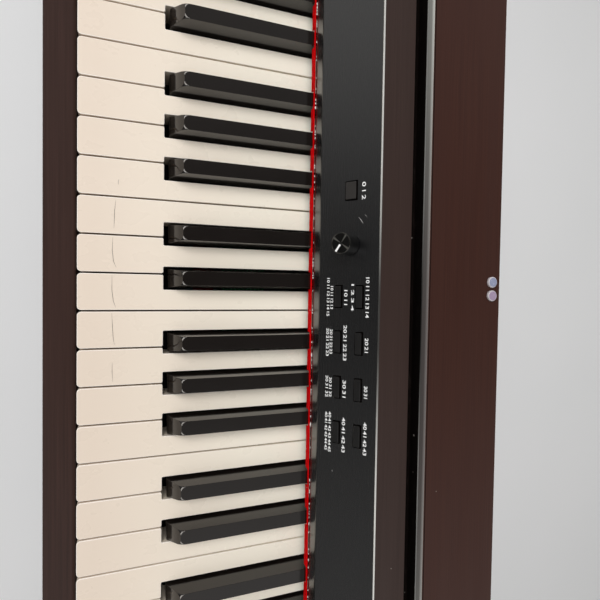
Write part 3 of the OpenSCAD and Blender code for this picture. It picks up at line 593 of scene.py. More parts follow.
OCTAVE = 7 * 23.5 * MM                              # seven white keys
key_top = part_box("key_c")[1].z
key_wall = 2 * MM
head_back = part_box("key_c")[0].y + 50 * MM          # where the wide head of a white key ends
white_corner = 2.3 * MM                             # rounding of a white key's two front corners
white_edge = 0.8 * MM                               # rounding of its other edges
sharp_gap = 1.6 * MM                                # free width beside a black key
sharp_slope = 8 * MM                                # how far a black key's front slopes back
sharp_taper = 9.0 / 11.6                            # a black key's width on top, as a share of its foot
sharp_corner = 3.6 * MM                             # rounding of a black key's two front corners on top
sharp_edge = 0.6 * MM                               # rounding of the other edges of its cap
cap_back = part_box("control_panel")[0].y + 5 * MM    # rear end of a black key's raised cap
rib = [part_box("contact_board")[0].y + y * MM for y in (11, 21)]
solid_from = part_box("key_pivot_rod")[0].y - 10 * MM


def hollow(key, low):
    """Hollows a key from below, before and behind its rib, with a wall all round."""
    for y_from, y_to in ((low.y, rib[0] + key_wall), (rib[1] - key_wall, solid_from + key_wall)):
        for y in (y_from, y_to):
            cut_at(key, (0, y, 0), BEHIND)
        pick_faces(key, lambda c, n: n.z < -0.9 and near(c.z, low.z) and y_from < c.y < y_to)
        bpy.ops.mesh.inset(thickness=key_wall, use_even_offset=True)
        push((0, 0, key_top - low.z - key_wall))


def white_key(name, node, left=None, right=None):
    """A white key: wide head, narrow tail beside its black keys, hollow below, all its top edges rounded."""
    low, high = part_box(node)
    tail_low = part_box(left)[1].x + sharp_gap if left else low.x
    tail_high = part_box(right)[0].x - sharp_gap if right else high.x
    key = block(name, low, (high.x, head_back, high.z))
    work_on(key)
    for x in (tail_low, tail_high):
        if low.x < x < high.x:
            cut_at(key, (x, 0, 0), (1, 0, 0))
    pick_faces(key, lambda c, n: n.y > 0.9 and tail_low < c.x < tail_high)
    push((0, high.y - head_back, 0))
    hollow(key, low)
    upright = lambda a, b, y, xs: any(all(near(p.x, x) and near(p.y, y) for p in (a, b)) for x in xs)
    round_edges(key, white_corner, 6, lambda a, b: upright(a, b, low.y, (low.x, high.x)))
    steps = (low.x, high.x, tail_low, tail_high)
    round_edges(key, white_edge, 3, lambda a, b: upright(a, b, head_back, steps))
    on_top = lambda a, b: at_height(high.z)(a, b) and max(a.y, b.y) < high.y
    round_edges(key, white_edge, 4, on_top, sharper=30)
    put_down()
    return key


def black_key(name, node):
    """A black key: tapered cap with a sloping front, its two front corners rounded, on a hollow body."""
    low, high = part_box(node)
    key = block(name, low, (high.x, high.y, key_top))
    work_on(key)
    hollow(key, low)
    cut_at(key, (0, cap_back, 0), BEHIND)
    pick_faces(key, lambda c, n: n.z > 0.9 and near(c.z, key_top) and c.y < cap_back)
    push((0, 0, high.z - key_top))
    bpy.ops.transform.resize(value=(sharp_taper, 1, 1), center_override=((low.x + high.x) / 2, 0, 0))
    pick_points(key, lambda p: near(p.z, high.z) and near(p.y, low.y))
    bpy.ops.transform.translate(value=(0, sharp_slope, 0))
    bpy.ops.mesh.bevel(offset=sharp_corner, segments=6, profile=0.5, affect="VERTICES")
    cap_only = lambda a, b: (min(a.z, b.z) > key_top - 0.01 * MM and max(a.z, b.z) > key_top + 0.1 * MM
                             and max(a.y, b.y) < cap_back + 0.1 * MM)
    round_edges(key, sharp_edge, 3, cap_only, sharper=25)
    put_down()
    return key


WHITE_KEYS = {
    "c": (None, "key_c_sharp"), "d": ("key_c_sharp", "key_d_sharp"), "e": ("key_d_sharp", None),
    "f": (None, "key_f_sharp"), "g": ("key_f_sharp", "key_g_sharp"), "a": ("key_g_sharp", "key_a_sharp"),
    "b": ("key_a_sharp", None)}
BLACK_KEYS = ("c", "d", "f", "g", "a")


def finish_white(key, body, node):
    """Cream plastic, with a paler cream painted along the rounded top edges as painted highlights."""
    fit(key, body, CREAM, "white_key_abs", node)
    # Painted highlights: the rounded top edges get the paler cream
    paint(key, CREAM_PAINTED_HIGHLIGHT, lambda c, n: c.z > key_top - white_edge + 0.05 * MM and n.z < 0.985)


def finish_black(key, body, node):
    """Black plastic, with a pale thin arc painted at each front corner of the top as a painted highlight."""
    fit(key, body, BLACK, "black_key_abs", node, angle=30)
    low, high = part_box("key_c_sharp")
    painted_highlight_to = low.y + sharp_slope + 4 * MM
    # Painted highlight: the corner faces near the front of the top are painted pale grey
    paint(key, BLACK_PAINTED_HIGHLIGHT, lambda c, n: 0.85 < n.z < 0.985 and abs(n.x) > 0.12 and n.y < -0.08
          and c.z > high.z - 0.4 * MM and c.y < painted_highlight_to)


def keyboard():
    """One octave is shaped key by key; the other octaves are copies of it, with the odd keys at both ends."""
    white = {n: white_key(f"{n}_key_cap", f"key_{n}", *sides) for n, sides in WHITE_KEYS.items()}
    black = {n: black_key(f"{n}_sharp_cap", f"key_{n}_sharp") for n in BLACK_KEYS}
    lowest_a = white_key("lowest_a", "key_a", None, "key_a_sharp")
    highest_c = white_key("highest_c", "key_c")
    for side, octaves in {"bass": (-3, -2, -1), "treble": (1, 2, 3)}.items():
        copies = lambda keys: [twin(key, f"{side}_{n}", (k * OCTAVE, 0, 0)) for k in octaves
                               for n, key in keys.items()]
        whites, blacks = copies(white), copies(black)
        if side == "bass":
            whites += [settle(lowest_a, Matrix.Translation((-4 * OCTAVE, 0, 0))),
                       twin(white["b"], "lowest_b", (-4 * OCTAVE, 0, 0))]
            blacks.append(twin(black["a"], "lowest_a_sharp", (-4 * OCTAVE, 0, 0)))
        else:
            whites.append(settle(highest_c, Matrix.Translation((4 * OCTAVE, 0, 0))))
        finish_white(joined(f"{side}_white_key_caps", whites), f"{side}_white_key_group",
                     f"{side}_white_keys")
        finish_black(joined(f"{side}_black_key_caps", blacks), f"{side}_black_key_group",
                     f"{side}_black_keys")
    for n, key in white.items():
        finish_white(key, f"key_{n}", f"key_{n}")
    for n, key in black.items():
        finish_black(key, f"key_{n}_sharp", f"key_{n}_sharp")


def drawn_line(name, places, width, at=Matrix.Identity(4), shares=None):
    """A flat drawn stroke through places (x, y), pointed at both ends or with its own width at each place."""
    shares = shares or [0.3] + [1.0] * (len(places) - 2) + [0.3]
    curve = bpy.data.curves.new(name, "CURVE")
    curve.dimensions = "3D"
    curve.bevel_depth = width / 2
    curve.bevel_resolution = 1
    stroke = curve.splines.new("POLY")
    stroke.points.add(len(places) - 1)
    for k, (x, y) in enumerate(places):
        stroke.points[k].co = (x, y, 0, 1)
        stroke.points[k].radius = shares[k]
    curve.use_fill_caps = True
    piece = bpy.data.objects.new(name, curve)
    bpy.context.scene.collection.objects.link(piece)
    only(piece)
    bpy.ops.object.convert(target="MESH")
    flat = Matrix.Diagonal((1, 1, 0.2, 1))
    return named(settle(bpy.context.object, at @ flat), name)


def pencil_marks():
    """Faint pencil strokes across six neighbouring keys, where a learner once marked them."""
    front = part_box("key_c")[0].y
    strokes = {"b": [(0.55, 23.4), (0.62, 22.9), (0.70, 23.2)],
               "c": [(0.08, 21.6), (0.35, 21.0), (0.62, 20.8), (0.85, 20.6)],
               "d": [(0.05, 20.0), (0.40, 19.7), (0.70, 20.4), (0.88, 22.0)],
               "e": [(0.05, 19.6), (0.45, 19.6), (0.75, 20.4), (0.93, 21.9)],
               "f": [(0.04, 19.6), (0.40, 20.0), (0.70, 20.4), (0.93, 21.2)],
               "g": [(0.36, 20.0), (0.60, 19.9), (0.90, 20.3)]}
    for n, places in strokes.items():
        octave_below = n == "b"
        body = "bass_white_key_group" if octave_below else f"key_{n}"
        low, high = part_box(f"key_{n}")
        start = low.x - OCTAVE if octave_below else low.x
        points = [(start + share * (high.x - low.x), front + y * MM) for share, y in places]
        line = drawn_line(f"pencil_stroke_{n}", points, 0.35 * MM, Matrix.Translation((0, 0, key_top)))
        fit(line, body, PENCIL, None, angle=80)


# ---------- Control panel ----------

panel_low, panel_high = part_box("control_panel")
bend_z = max(v.co.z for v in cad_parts["control_panel"].data.vertices if near(v.co.y, panel_low.y))
slope_angle = atan2(panel_high.z - bend_z, panel_high.y - panel_low.y)
SLOPE = Matrix.Translation((0, panel_low.y, bend_z)) @ Matrix.Rotation(slope_angle, 4, "X")
TO_SLOPE = SLOPE.inverted()


def box_on_slope(node):
    """A node's box in the panel's own frame: along the keyboard, up the slope and out of its face."""
    points = [TO_SLOPE @ v.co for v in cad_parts[node].data.vertices]
    return (Vector([min(p[k] for p in points) for k in range(3)]),
            Vector([max(p[k] for p in points) for k in range(3)]))


def panel_sheet():
    """The folded sheet, softened at its bend and round its holes, painted dull black inside the holes and at
    the foot of its lip as painted shade.
    """
    sheet = copy_of("control_panel", "brushed_panel_sheet")
    # Up to this height the lip's foot is painted black: painted shade
    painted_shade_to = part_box("name_felt")[1].z + 0.7 * MM
    past_bend = 4 * MM
    on_bend = lambda p: near(p.y, panel_low.y) and near(p.z, bend_z)
    on_face = lambda p: abs((TO_SLOPE @ p).z) < 0.02 * MM and (TO_SLOPE @ p).y > past_bend
    work_on(sheet)
    cut_at(sheet, (0, 0, painted_shade_to), UP)
    round_edges(sheet, 1.2 * MM, 5, lambda a, b: on_bend(a) and on_bend(b))
    put_down()
    round_sharp(sheet, 0.15 * MM, 2, lambda a, b: on_face(a) and on_face(b))
    fit(sheet, "cabinet", PANEL, "panel_aluminium", "control_panel")
    outward = SLOPE.to_3x3() @ UP
    through = lambda p: p.y > past_bend and p.z > -3 * MM
    in_hole = lambda c, n: abs(n.dot(outward)) < 0.3 and through(TO_SLOPE @ c)
    # Painted shade: the walls of the holes and the lip's foot are painted dull black
    paint(sheet, SHADE_AND_GLUE_BLACK, lambda c, n: in_hole(c, n) or (n.y < -0.9 and c.z < painted_shade_to))


def panel_trim():
    """The bright strip behind the upper edge of the panel."""
    strip = block("bright_trim_strip", *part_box("panel_trim"))
    round_sharp(strip, 0.3 * MM, 3)
    fit(strip, "cabinet", TRIM, "trim_aluminium", "panel_trim")


def panel_scratches():
    """Three short scratches, as places along the keyboard and up the slope in millimetres."""
    scratches = [[(-60.4, 28.3), (-58.4, 30.0), (-56.4, 31.4)], [(-61.8, 32.4), (-60.2, 34.0)],
                 [(102.3, 12.1), (102.8, 12.4), (103.3, 12.4)]]
    lines = [drawn_line(f"scratch_{k}", [(x * MM, y * MM) for x, y in places], 0.4 * MM, SLOPE)
             for k, places in enumerate(scratches)]
    fit(joined("panel_scratches", lines), "cabinet", SCUFF, None, angle=80)


def middle_of(node):
    """The middle of a CAD node's box."""
    low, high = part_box(node)
    return (low + high) / 2


def name_felt():
    """The felt strip behind the keys: between the black keys it bulges forward and hangs lower."""
    low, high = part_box("name_felt")
    sharp_low, sharp_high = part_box("key_c_sharp")
    half = (sharp_high.x - sharp_low.x) / 2
    over = sharp_high.z + 0.4 * MM                  # the felt's lower edge above the black keys
    bulge = 0.3 * MM
    front = low.y + 0.5 * MM
    gap = 0.3 * MM                                  # dark gap between the felt and the panel's lip
    strip = block("name_felt_strip", (low.x, front + bulge, over), (high.x, high.y - gap, high.z))
    middles = [sum(corner.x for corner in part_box(f"key_{n}_sharp")) / 2 for n in BLACK_KEYS]
    sharps = [x + k * OCTAVE for k in range(-4, 4) for x in middles if low.x < x + k * OCTAVE < high.x]
    between = lambda c: all(abs(c.x - x) > half for x in sharps)
    work_on(strip)
    for x in sharps:
        cut_at(strip, (x - half, 0, 0), (1, 0, 0))
        cut_at(strip, (x + half, 0, 0), (1, 0, 0))
    pick_faces(strip, lambda c, n: n.y < -0.9 and between(c))
    push((0, -bulge, 0))
    pick_faces(strip, lambda c, n: n.z < -0.9 and between(c))
    push((0, 0, low.z - over))
    put_down()
    wool = strip.modifiers.new("wool", "REMESH")
    wool.mode = "VOXEL"
    wool.voxel_size = 0.5 * MM
    bpy.ops.object.modifier_apply(modifier=wool.name)
    lumps = bpy.data.textures.new("felt lumps", "CLOUDS")
    lumps.noise_scale = 2.2 * MM
    fuzz = strip.modifiers.new("fuzz", "DISPLACE")
    fuzz.texture = lumps
    fuzz.texture_coords = "LOCAL"
    fuzz.strength = 0.3 * MM
    fuzz.mid_level = 0.75                           # most of the lumps lie inside the strip's own faces
    bpy.ops.object.modifier_apply(modifier=fuzz.name)
    fit(strip, "cabinet", FELT, "name_felt", "name_felt", angle=80)


def lint():
    """White fluff in clumps along the foot of the panel's lip."""
    low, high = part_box("name_felt")
    chance = random.Random(5)
    step = 0.8 * MM
    count = int((high.x - low.x) / step)
    places = [(low.x + k * step, chance.uniform(-0.15, 0.15) * MM) for k in range(1, count)]
    shares = [chance.choice([0.01] * 8 + [0.5, 1.0]) for _ in places]
    corner = Matrix.Translation((0, panel_low.y - 0.1 * MM, high.z + 0.4 * MM))
    fluff = drawn_line("felt_lint", places, 0.8 * MM, corner, shares)
    fit(fluff, "cabinet", LINT, None, angle=80)


def push_button(name, node, material):
    """A button cap with rounded corners and a flange, with a dark gap left round it; its sides and flange are
    painted dull black as painted shade.
    """
    low, high = box_on_slope(node)
    high.z -= 0.7 * MM                              # the caps sit a little deeper in their holes
    flange = MM
    cap = block(name, low, (high.x, high.y, low.z + flange))
    work_on(cap)
    pick_faces(cap, lambda c, n: n.z > 0.9)
    bpy.ops.mesh.inset(thickness=1.4 * flange)
    push((0, 0, high.z - low.z - flange))
    round_edges(cap, 0.7 * MM, 4, lambda a, b: abs(a.z - b.z) > 1.5 * flange)
    round_edges(cap, 0.5 * MM, 4, at_height(high.z))
    put_down()
    settle(cap, SLOPE)
    fit(cap, node, material, "button_abs", node)
    on_side = lambda n: abs((TO_SLOPE.to_3x3() @ n).z) < 0.4
    # Painted shade: the cap's sides and flange are painted dull black
    paint(cap, SHADE_AND_GLUE_BLACK, lambda c, n: on_side(n) or (TO_SLOPE @ c).z < low.z + 1.01 * flange)


POINTER_TURN = radians(-35)
knob_low, knob_high = box_on_slope("volume_knob")
knob_middle = Vector(((knob_low.x + knob_high.x) / 2, (knob_low.y + knob_high.y) / 2, 0))
knob_radius = (knob_high.x - knob_low.x) / 2
knob_foot = knob_high.z - 12 * MM                   # the knob's lower edge: below it is the shaft
knob_rim = 0.6 * MM                                 # width of the bright rim round the turned face
knob_dish = 0.25 * MM                               # how far the face lies below the rim


def knob_body():
    """The knob's body: smooth side, thin rim round a sunk top, hollow below round its shaft."""
    wall, recess, shaft_radius = 1.2 * MM, 3 * MM, 3 * MM
    outer = lambda p: near(p.z, knob_foot) and (p - knob_middle).xy.length > knob_radius - MM / 2
    on_rim = lambda c: (c - knob_middle).xy.length > knob_radius - knob_rim and c.z > knob_high.z - 0.35 * MM
    knob = drum("knob_body", knob_middle + UP * knob_foot, knob_radius, knob_high.z - knob_foot, 72)
    work_on(knob)
    pick_faces(knob, lambda c, n: n.z < -0.9)
    bpy.ops.mesh.inset(thickness=wall)
    push((0, 0, recess))
    bpy.ops.mesh.inset(thickness=knob_radius - wall - shaft_radius)
    push((0, 0, knob_low.z - knob_foot - recess))
    round_edges(knob, 0.3 * MM, 3, at_height(knob_high.z))
    pick_faces(knob, lambda c, n: n.z > 0.99 and near(c.z, knob_high.z))
    bpy.ops.mesh.inset(thickness=knob_rim / 2)
    bpy.ops.transform.translate(value=(0, 0, -knob_dish))
    round_edges(knob, 0.4 * MM, 2, lambda a, b: outer(a) and outer(b))
    put_down()
    settle(knob, SLOPE)
    fit(knob, "volume_knob", KNOB_SIDE, "knob_metal", "volume_knob")
    paint(knob, KNOB_RIM, lambda c, n: on_rim(TO_SLOPE @ c))


def turned_uv(piece, middle, start):
    """A UV map that runs round the piece's axis from a start angle, for a finish that follows the turning."""
    layer = piece.data.uv_layers.new(name="turning") if not piece.data.uv_layers else piece.data.uv_layers[0]
    for face in piece.data.polygons:
        centre = face.center - middle
        facing = atan2(centre.y, centre.x)
        for loop in face.loop_indices:
            point = piece.data.vertices[piece.data.loops[loop].vertex_index].co - middle
            radius = (point.x ** 2 + point.y ** 2) ** 0.5
            turn = atan2(point.y, point.x) if radius > 0.01 * MM else facing
            turn += 2 * pi * round((facing - turn) / (2 * pi))
            layer.data[loop].uv = ((turn - start) / (2 * pi), radius / (10 * MM))


def knob_face():
    """The turned face: rings of faces that the finish follows round."""
    radius = knob_radius - knob_rim
    face = drum("knob_turned_face", knob_middle + UP * (knob_high.z - knob_dish), radius, 0.12 * MM, 72)
    work_on(face)
    pick_faces(face, lambda c, n: n.z > 0.9)
    for _ in range(5):
        bpy.ops.mesh.inset(thickness=radius / 6)
    bpy.ops.mesh.poke()
    put_down()
    turned_uv(face, knob_middle, POINTER_TURN)
    settle(face, SLOPE)
    fit(face, "volume_knob", SPUN, "knob_metal")


def knob_pointer():
    """The white line on the face, from near its middle to near the rim."""
    half = 0.65 * MM
    line = block("knob_pointer", (0.15 * knob_radius, -half, 0), (0.93 * knob_radius, half, 0.08 * MM))
    round_sharp(line, 0.03 * MM, 1)
    at_face = Matrix.Translation(knob_middle + UP * (knob_high.z - 0.13 * MM))
    settle(line, SLOPE @ at_face @ Matrix.Rotation(POINTER_TURN, 4, "Z"))
    fit(line, "volume_knob", INK, None)


def counting(first, room):
    """Numbers from first upwards, as many as fill a length given in heights of a numeral."""
    numbers = [first]
    while 0.72 * len(" ".join(map(str, numbers))) + 1.6 < room:
        numbers.append(numbers[-1] + 1)
    return " ".join(map(str, numbers))


def number_row(name, text, x0, x1, foot, head):
    """A printed row on the slope, in millimetres: its two ends, and its foot and head lines."""
    bpy.ops.object.select_all(action="DESELECT")
    bpy.ops.object.text_add()
    row = bpy.context.object
    row.data.body = text
    row.data.resolution_u = 3
    row.data.extrude = 0.02
    row.data.offset = 0.015
    row.data.space_word = 0.55
    only(row)
    bpy.ops.object.convert(target="MESH")
    row = bpy.context.object
    xs = [v.co.x for v in row.data.vertices]
    ys = [v.co.y for v in row.data.vertices]
    size = Matrix.Diagonal((
        (x1 - x0) * MM / (max(xs) - min(xs)), (head - foot) * MM / (max(ys) - min(ys)), MM, 1))
    place = Matrix.Translation((x0 * MM, foot * MM, 0.02 * MM))
    return named(settle(row, SLOPE @ place @ size @ Matrix.Translation((-min(xs), -min(ys), 0))), name)


def printed_numbers():
    """Plain numbers beside the controls, where an owner reads what each button steps through."""
    rows = [number_row("power_row", "0 1 2", -82.0, -71.2, 30.2, 32.8),
            number_row("hold_row", "1 2 3 4", -18.8, -1.9, 24.0, 25.9)]
    # Foot and head lines up the slope, with both ends of each row that stands on them, in millimetres
    lines = {(34.0, 36.4): [(-23, 2), (14.5, 23.6), (44.4, 52.1), (67, 87.7)],
             (18.9, 21.3): [(-15, -5.5), (7.4, 30), (42.6, 53.7), (66.5, 89.1)],
             (8.9, 10.9): [(-17.4, -2.6), (10.5, 26.6), (41.9, 54.7), (64.3, 90.8)],
             (6.2, 8.2): [(-22.6, 2.1), (10, 28.2), (40.9, 55.1), (64.7, 90.1)]}
    for (foot, head), ends_of_rows in lines.items():
        for k, (x0, x1) in enumerate(ends_of_rows):
            text = counting(10 * k + 10, (x1 - x0) / (head - foot))
            rows.append(number_row(f"row_{k}", text, x0, x1, foot, head))
    fit(joined("printed_numbers", rows), "cabinet", INK, None, angle=30)


def controls():
    """Two rows of four buttons, the power button, the knob and the numbers beside them."""
    for row in ("front", "rear"):
        for k in range(1, 5):
            push_button(f"{row}_button_cap_{k}", f"{row}_row_button_{k}", BUTTON)
    push_button("power_button_cap", "power_button", POWER_ABS_PAINTED_LIGHT)
    knob_body()
    knob_face()
    knob_pointer()
    printed_numbers()


# ---------- Case ----------

rail_low, rail_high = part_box("top_front_rail")


def front_rail():
    """The rail behind the panel, painted dull black where it faces the slot as painted shade."""
    rail = block("top_rail_board", rail_low, rail_high)
    round_sharp(rail, 0.5 * MM, 2)
    fit(rail, "cabinet", RAIL_FOIL, "top_foil", "top_front_rail")
    # Painted shade: the face towards the slot is painted black
    paint(rail, SHADE_AND_GLUE_BLACK, lambda c, n: n.y > 0.7)


def top_board():
    """The board behind the slot: its face in the slot is painted black as painted shade, a bright strip is
    painted along the lower edge of its edging as a painted highlight, and it has a glue line.
    """
    slot_floor = rail_high.z - 8 * MM
    # Below this height the board's face in the slot is painted black: painted shade
    painted_shade_top = rail_high.z + 0.9 * MM
    painted_highlight_top = painted_shade_top + MM                          # a bright strip is painted up to here along the edging's lower edge: a painted highlight
    low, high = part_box("top_board")
    front = low.y + 7.5 * MM
    glue = (front + 1.7 * MM, front + 2.1 * MM)     # dark line where the edging meets the foil
    top = block("top_cover_board", (low.x, front, low.z), high)
    work_on(top)
    for z in (slot_floor, painted_shade_top, painted_highlight_top):
        cut_at(top, (0, 0, z), UP)
    pick_faces(top, lambda c, n: n.y < -0.9 and c.z < slot_floor)
    push((0, low.y - front, 0))
    on_edge = lambda a, b, y: at_height(high.z)(a, b) and near(a.y, y) and near(b.y, y)
    round_edges(top, 1.6 * MM, 4, lambda a, b: on_edge(a, b, front))
    round_edges(top, 0.8 * MM, 3, lambda a, b: on_edge(a, b, high.y))
    for y in glue:
        cut_at(top, (0, y, 0), BEHIND)
    put_down()
    fit(top, "cabinet", TOP_FOIL, "top_foil", "top_board")
    paint(top, EDGING, lambda c, n: n.y < -0.2 and c.z > painted_highlight_top)
    # Painted highlight: the strip along the edging's lower edge gets the bright trim finish
    paint(top, TRIM, lambda c, n: n.y < -0.99 and painted_shade_top < c.z < painted_highlight_top)
    paint(top, SHADE_AND_GLUE_BLACK, lambda c, n: n.z > 0.99 and glue[0] < c.y < glue[1])
    # Painted shade: the board's faces in the slot are painted black
    in_slot = lambda c: low.y < c.y < front + 0.01 * MM and slot_floor - 0.01 * MM < c.z < painted_shade_top
    paint(top, SHADE_AND_GLUE_BLACK, lambda c, n: in_slot(c))


def bumpers():
    """Two clear stick-on bumpers near the rear edge: each has a pale rim painted as a painted highlight,
    round a middle painted blue on the bass one and lilac on the treble one as a painted reflection.
    """
    low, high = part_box("clear_bumpers")
    radius = (high.y - low.y) / 2
    # Painted highlight: the pale rim colour
    rim = clear_pu("clear_polyurethane_painted_highlight_rim", "#C9C2C8", "#E2DCDF")
    painted_reflection_middles = {"bass": ("#8E95B4", "#A9AEC6"), "treble": ("#A48DAC", "#B8A5BE")}
    for side, core in painted_reflection_middles.items():
        x = low.x + radius if side == "bass" else high.x - radius
        drop = drum(f"{side}_clear_bumper", (x, low.y + radius, low.z), radius, high.z - low.z, 40)
        work_on(drop)
        round_edges(drop, 0.9 * MM, 5, at_height(high.z))
        put_down()
        fit(drop, "cabinet", rim, "clear_pu", "clear_bumpers")
        # Painted reflection: the blue and lilac middles
        paint(drop, clear_pu(f"clear_polyurethane_{side}", *core), lambda c, n: n.z > 0.95)


def boards():
    """Foil-wrapped boards. Their long edges are rounded where hands and knees meet them."""
    plain = {"key_bed": 0.6, "key_slip": 2.0, "modesty_panel": 1.0}
    for node, radius in plain.items():
        piece = block(f"{node}_board", *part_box(node))
        round_sharp(piece, radius * MM, 4, lambda a, b: not near(a.x, b.x))
        round_sharp(piece, 0.3 * MM, 1, lambda a, b: near(a.x, b.x))
        fit(piece, "cabinet", CABINET_FOIL, "cabinet_foil", node)
    shaped = {"rear_board": (CABINET_FOIL, 0.5), "pedal_box": (CABINET_FOIL, 1.0)}
    for side in ("left", "right"):
        shaped[f"{side}_side_panel"] = (SIDE_FOIL, 1.2)
        shaped[f"{side}_foot_block"] = (FOOT_FOIL, 2.0)
        shaped[f"{side}_end_block"] = (CABINET_FOIL, 1.5)
    for node, (foil, radius) in shaped.items():
        piece = copy_of(node, f"{node}_board")
        round_sharp(piece, radius * MM, 3, longer_than(5 * MM))
        fit(piece, "cabinet", foil, "cabinet_foil", node)


def bolts():
    """Connector bolts: black heads with a hexagon socket and a softened rim."""
    piece = copy_of("cabinet_bolts", "cabinet_bolt_heads")
    outer = max(v.co.x for v in piece.data.vertices)
    round_sharp(piece, 0.5 * MM, 3, lambda a, b: near(abs(a.x), outer) and near(abs(b.x), outer))
    fit(piece, "cabinet", BOLT, "bolt_steel", "cabinet_bolts")


def pan_screw(name):
    """A small pan head screw at the origin: domed head with a driver recess."""
    height = 1.2 * MM
    screw = drum(name, (0, 0, 0), 3.2 * MM, height, 16)
    work_on(screw)
    round_edges(screw, height / 2, 2, at_height(height))
    pick_faces(screw, lambda c, n: n.z > 0.99)
    bpy.ops.mesh.inset(thickness=1.2 * MM)
    push((0, 0, -0.7 * MM))
    put_down()
    return screw


def rear_screws():
    """A row of screws along the top and bottom edges of the rear board, and four in the jack plate."""
    low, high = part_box("rear_board")
    plate_low, plate_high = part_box("rear_jack_plate")
    pitch, inset, plate_inset = 150 * MM, 6 * MM, 4 * MM
    plate_face = high.y + 1.5 * MM
    places = [(k * pitch, high.y, z) for k in range(-4, 5) for z in (low.z + inset, high.z - inset)]
    places += [(x, plate_face, z) for x in (plate_low.x + plate_inset, plate_high.x - plate_inset)
               for z in (plate_low.z + plate_inset, plate_high.z - plate_inset)]
    screw = pan_screw("rear_screw")
    heads = [laid_against(twin(screw, f"rear_screw_{k}"), place, -pi / 2) for k, place in enumerate(places)]
    bpy.data.objects.remove(screw)
    fit(joined("rear_board_screws", heads), "cabinet", BOLT, "bolt_steel")


def jack_ring(name, place, turn):
    """A flat metal ring with rounded rims round a jack's hole."""
    hole, half_width = 3.4 * MM, 0.9 * MM
    bpy.ops.object.select_all(action="DESELECT")
    bpy.ops.mesh.primitive_torus_add(
        major_radius=hole + half_width, minor_radius=half_width, major_segments=36, minor_segments=10)
    ring = named(settle(bpy.context.object), name)
    work_on(ring)
    bpy.ops.mesh.select_all(action="SELECT")
    bpy.ops.transform.resize(value=(1, 1, 0.6))
    put_down()
    return laid_against(ring, place, turn)


def sockets():
    """The rear jack plate and the headphone box, with nickel rings round their jacks."""
    plate = copy_of("rear_jack_plate", "jack_plate")
    round_sharp(plate, 0.4 * MM, 2, longer_than(3 * MM))
    fit(plate, "cabinet", HOUSING, "housing_abs", "rear_jack_plate")
    case = copy_of("headphone_box", "headphone_case")
    round_sharp(case, 0.8 * MM, 3, longer_than(5 * MM))
    fit(case, "cabinet", HOUSING, "housing_abs", "headphone_box")

    jacks, phones = middle_of("rear_jack_plate"), middle_of("headphone_box")
    back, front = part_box("rear_jack_plate")[1].y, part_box("headphone_box")[0].y
    rings = [jack_ring(f"jack_ring_{k}", (jacks.x + x * MM, back, jacks.z), -pi / 2)
             for k, x in enumerate((-52, -26, 0, 26))]
    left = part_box("headphone_box")[0].x
    rings += [jack_ring(f"phone_ring_{k}", (left + x * MM, front, phones.z), pi / 2)
              for k, x in enumerate((20, 50))]
    fit(joined("jack_rings", rings), "cabinet", NICKEL, None)


def grilles():
    """Slotted speaker grilles with a softened rim."""
    piece = copy_of("speaker_grilles", "speaker_grille_plates")
    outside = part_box("speaker_grilles")[1].y
    round_sharp(piece, 0.5 * MM, 2, lambda a, b: near(a.y, b.y) and near(a.y, outside))
    fit(piece, "cabinet", HOUSING, "speaker_black", "speaker_grilles")


def pedal_collar(name, pedal_low, pedal_high, front):
    """A black frame round a pedal's slot, on the front of the box."""
    middle = (pedal_low.x + pedal_high.x) / 2
    half = 11 * MM
    width = 4 * MM
    low, high = pedal_low.z - 10 * MM, pedal_high.z + 0.3 * MM
    collar = block(name, (middle - half - width, front - 1.2 * MM, low - width),
                   (middle + half + width, front, high + width))
    across = lambda n: abs(n.y) > 0.9
    in_slot = lambda c: abs(c.x - middle) < MM and abs(c.z - (low + high) / 2) < MM
    work_on(collar)
    pick_faces(collar, lambda c, n: across(n))
    bpy.ops.mesh.inset(thickness=width, use_individual=True)
    pick_faces(collar, lambda c, n: across(n) and in_slot(c))
    bpy.ops.mesh.bridge_edge_loops()
    put_down()
    round_sharp(collar, 0.5 * MM, 2, lambda a, b: max(a.y, b.y) < front - MM)
    return collar


def pedals():
    """Brass pedals with rounded edges, each in a black collar on the front of its box."""
    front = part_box("pedal_box")[0].y
    level = lambda a, b, z: at_height(z)(a, b) and (a - b).length > MM
    collars = []
    for side in ("left", "middle", "right"):
        node = f"{side}_pedal"
        low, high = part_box(node)
        pedal = copy_of(node, f"{side}_brass_pedal")
        round_sharp(pedal, 1.9 * MM, 4, lambda a, b: level(a, b, high.z) and a.y < front + 20 * MM)
        round_sharp(pedal, 0.8 * MM, 2, lambda a, b: level(a, b, low.z) and a.y < front)
        fit(pedal, node, BRASS, "pedal_brass", node)
        collars.append(pedal_collar(f"{side}_collar", low, high, front))
    fit(joined("pedal_slot_collars", collars), "cabinet", HOUSING, None)


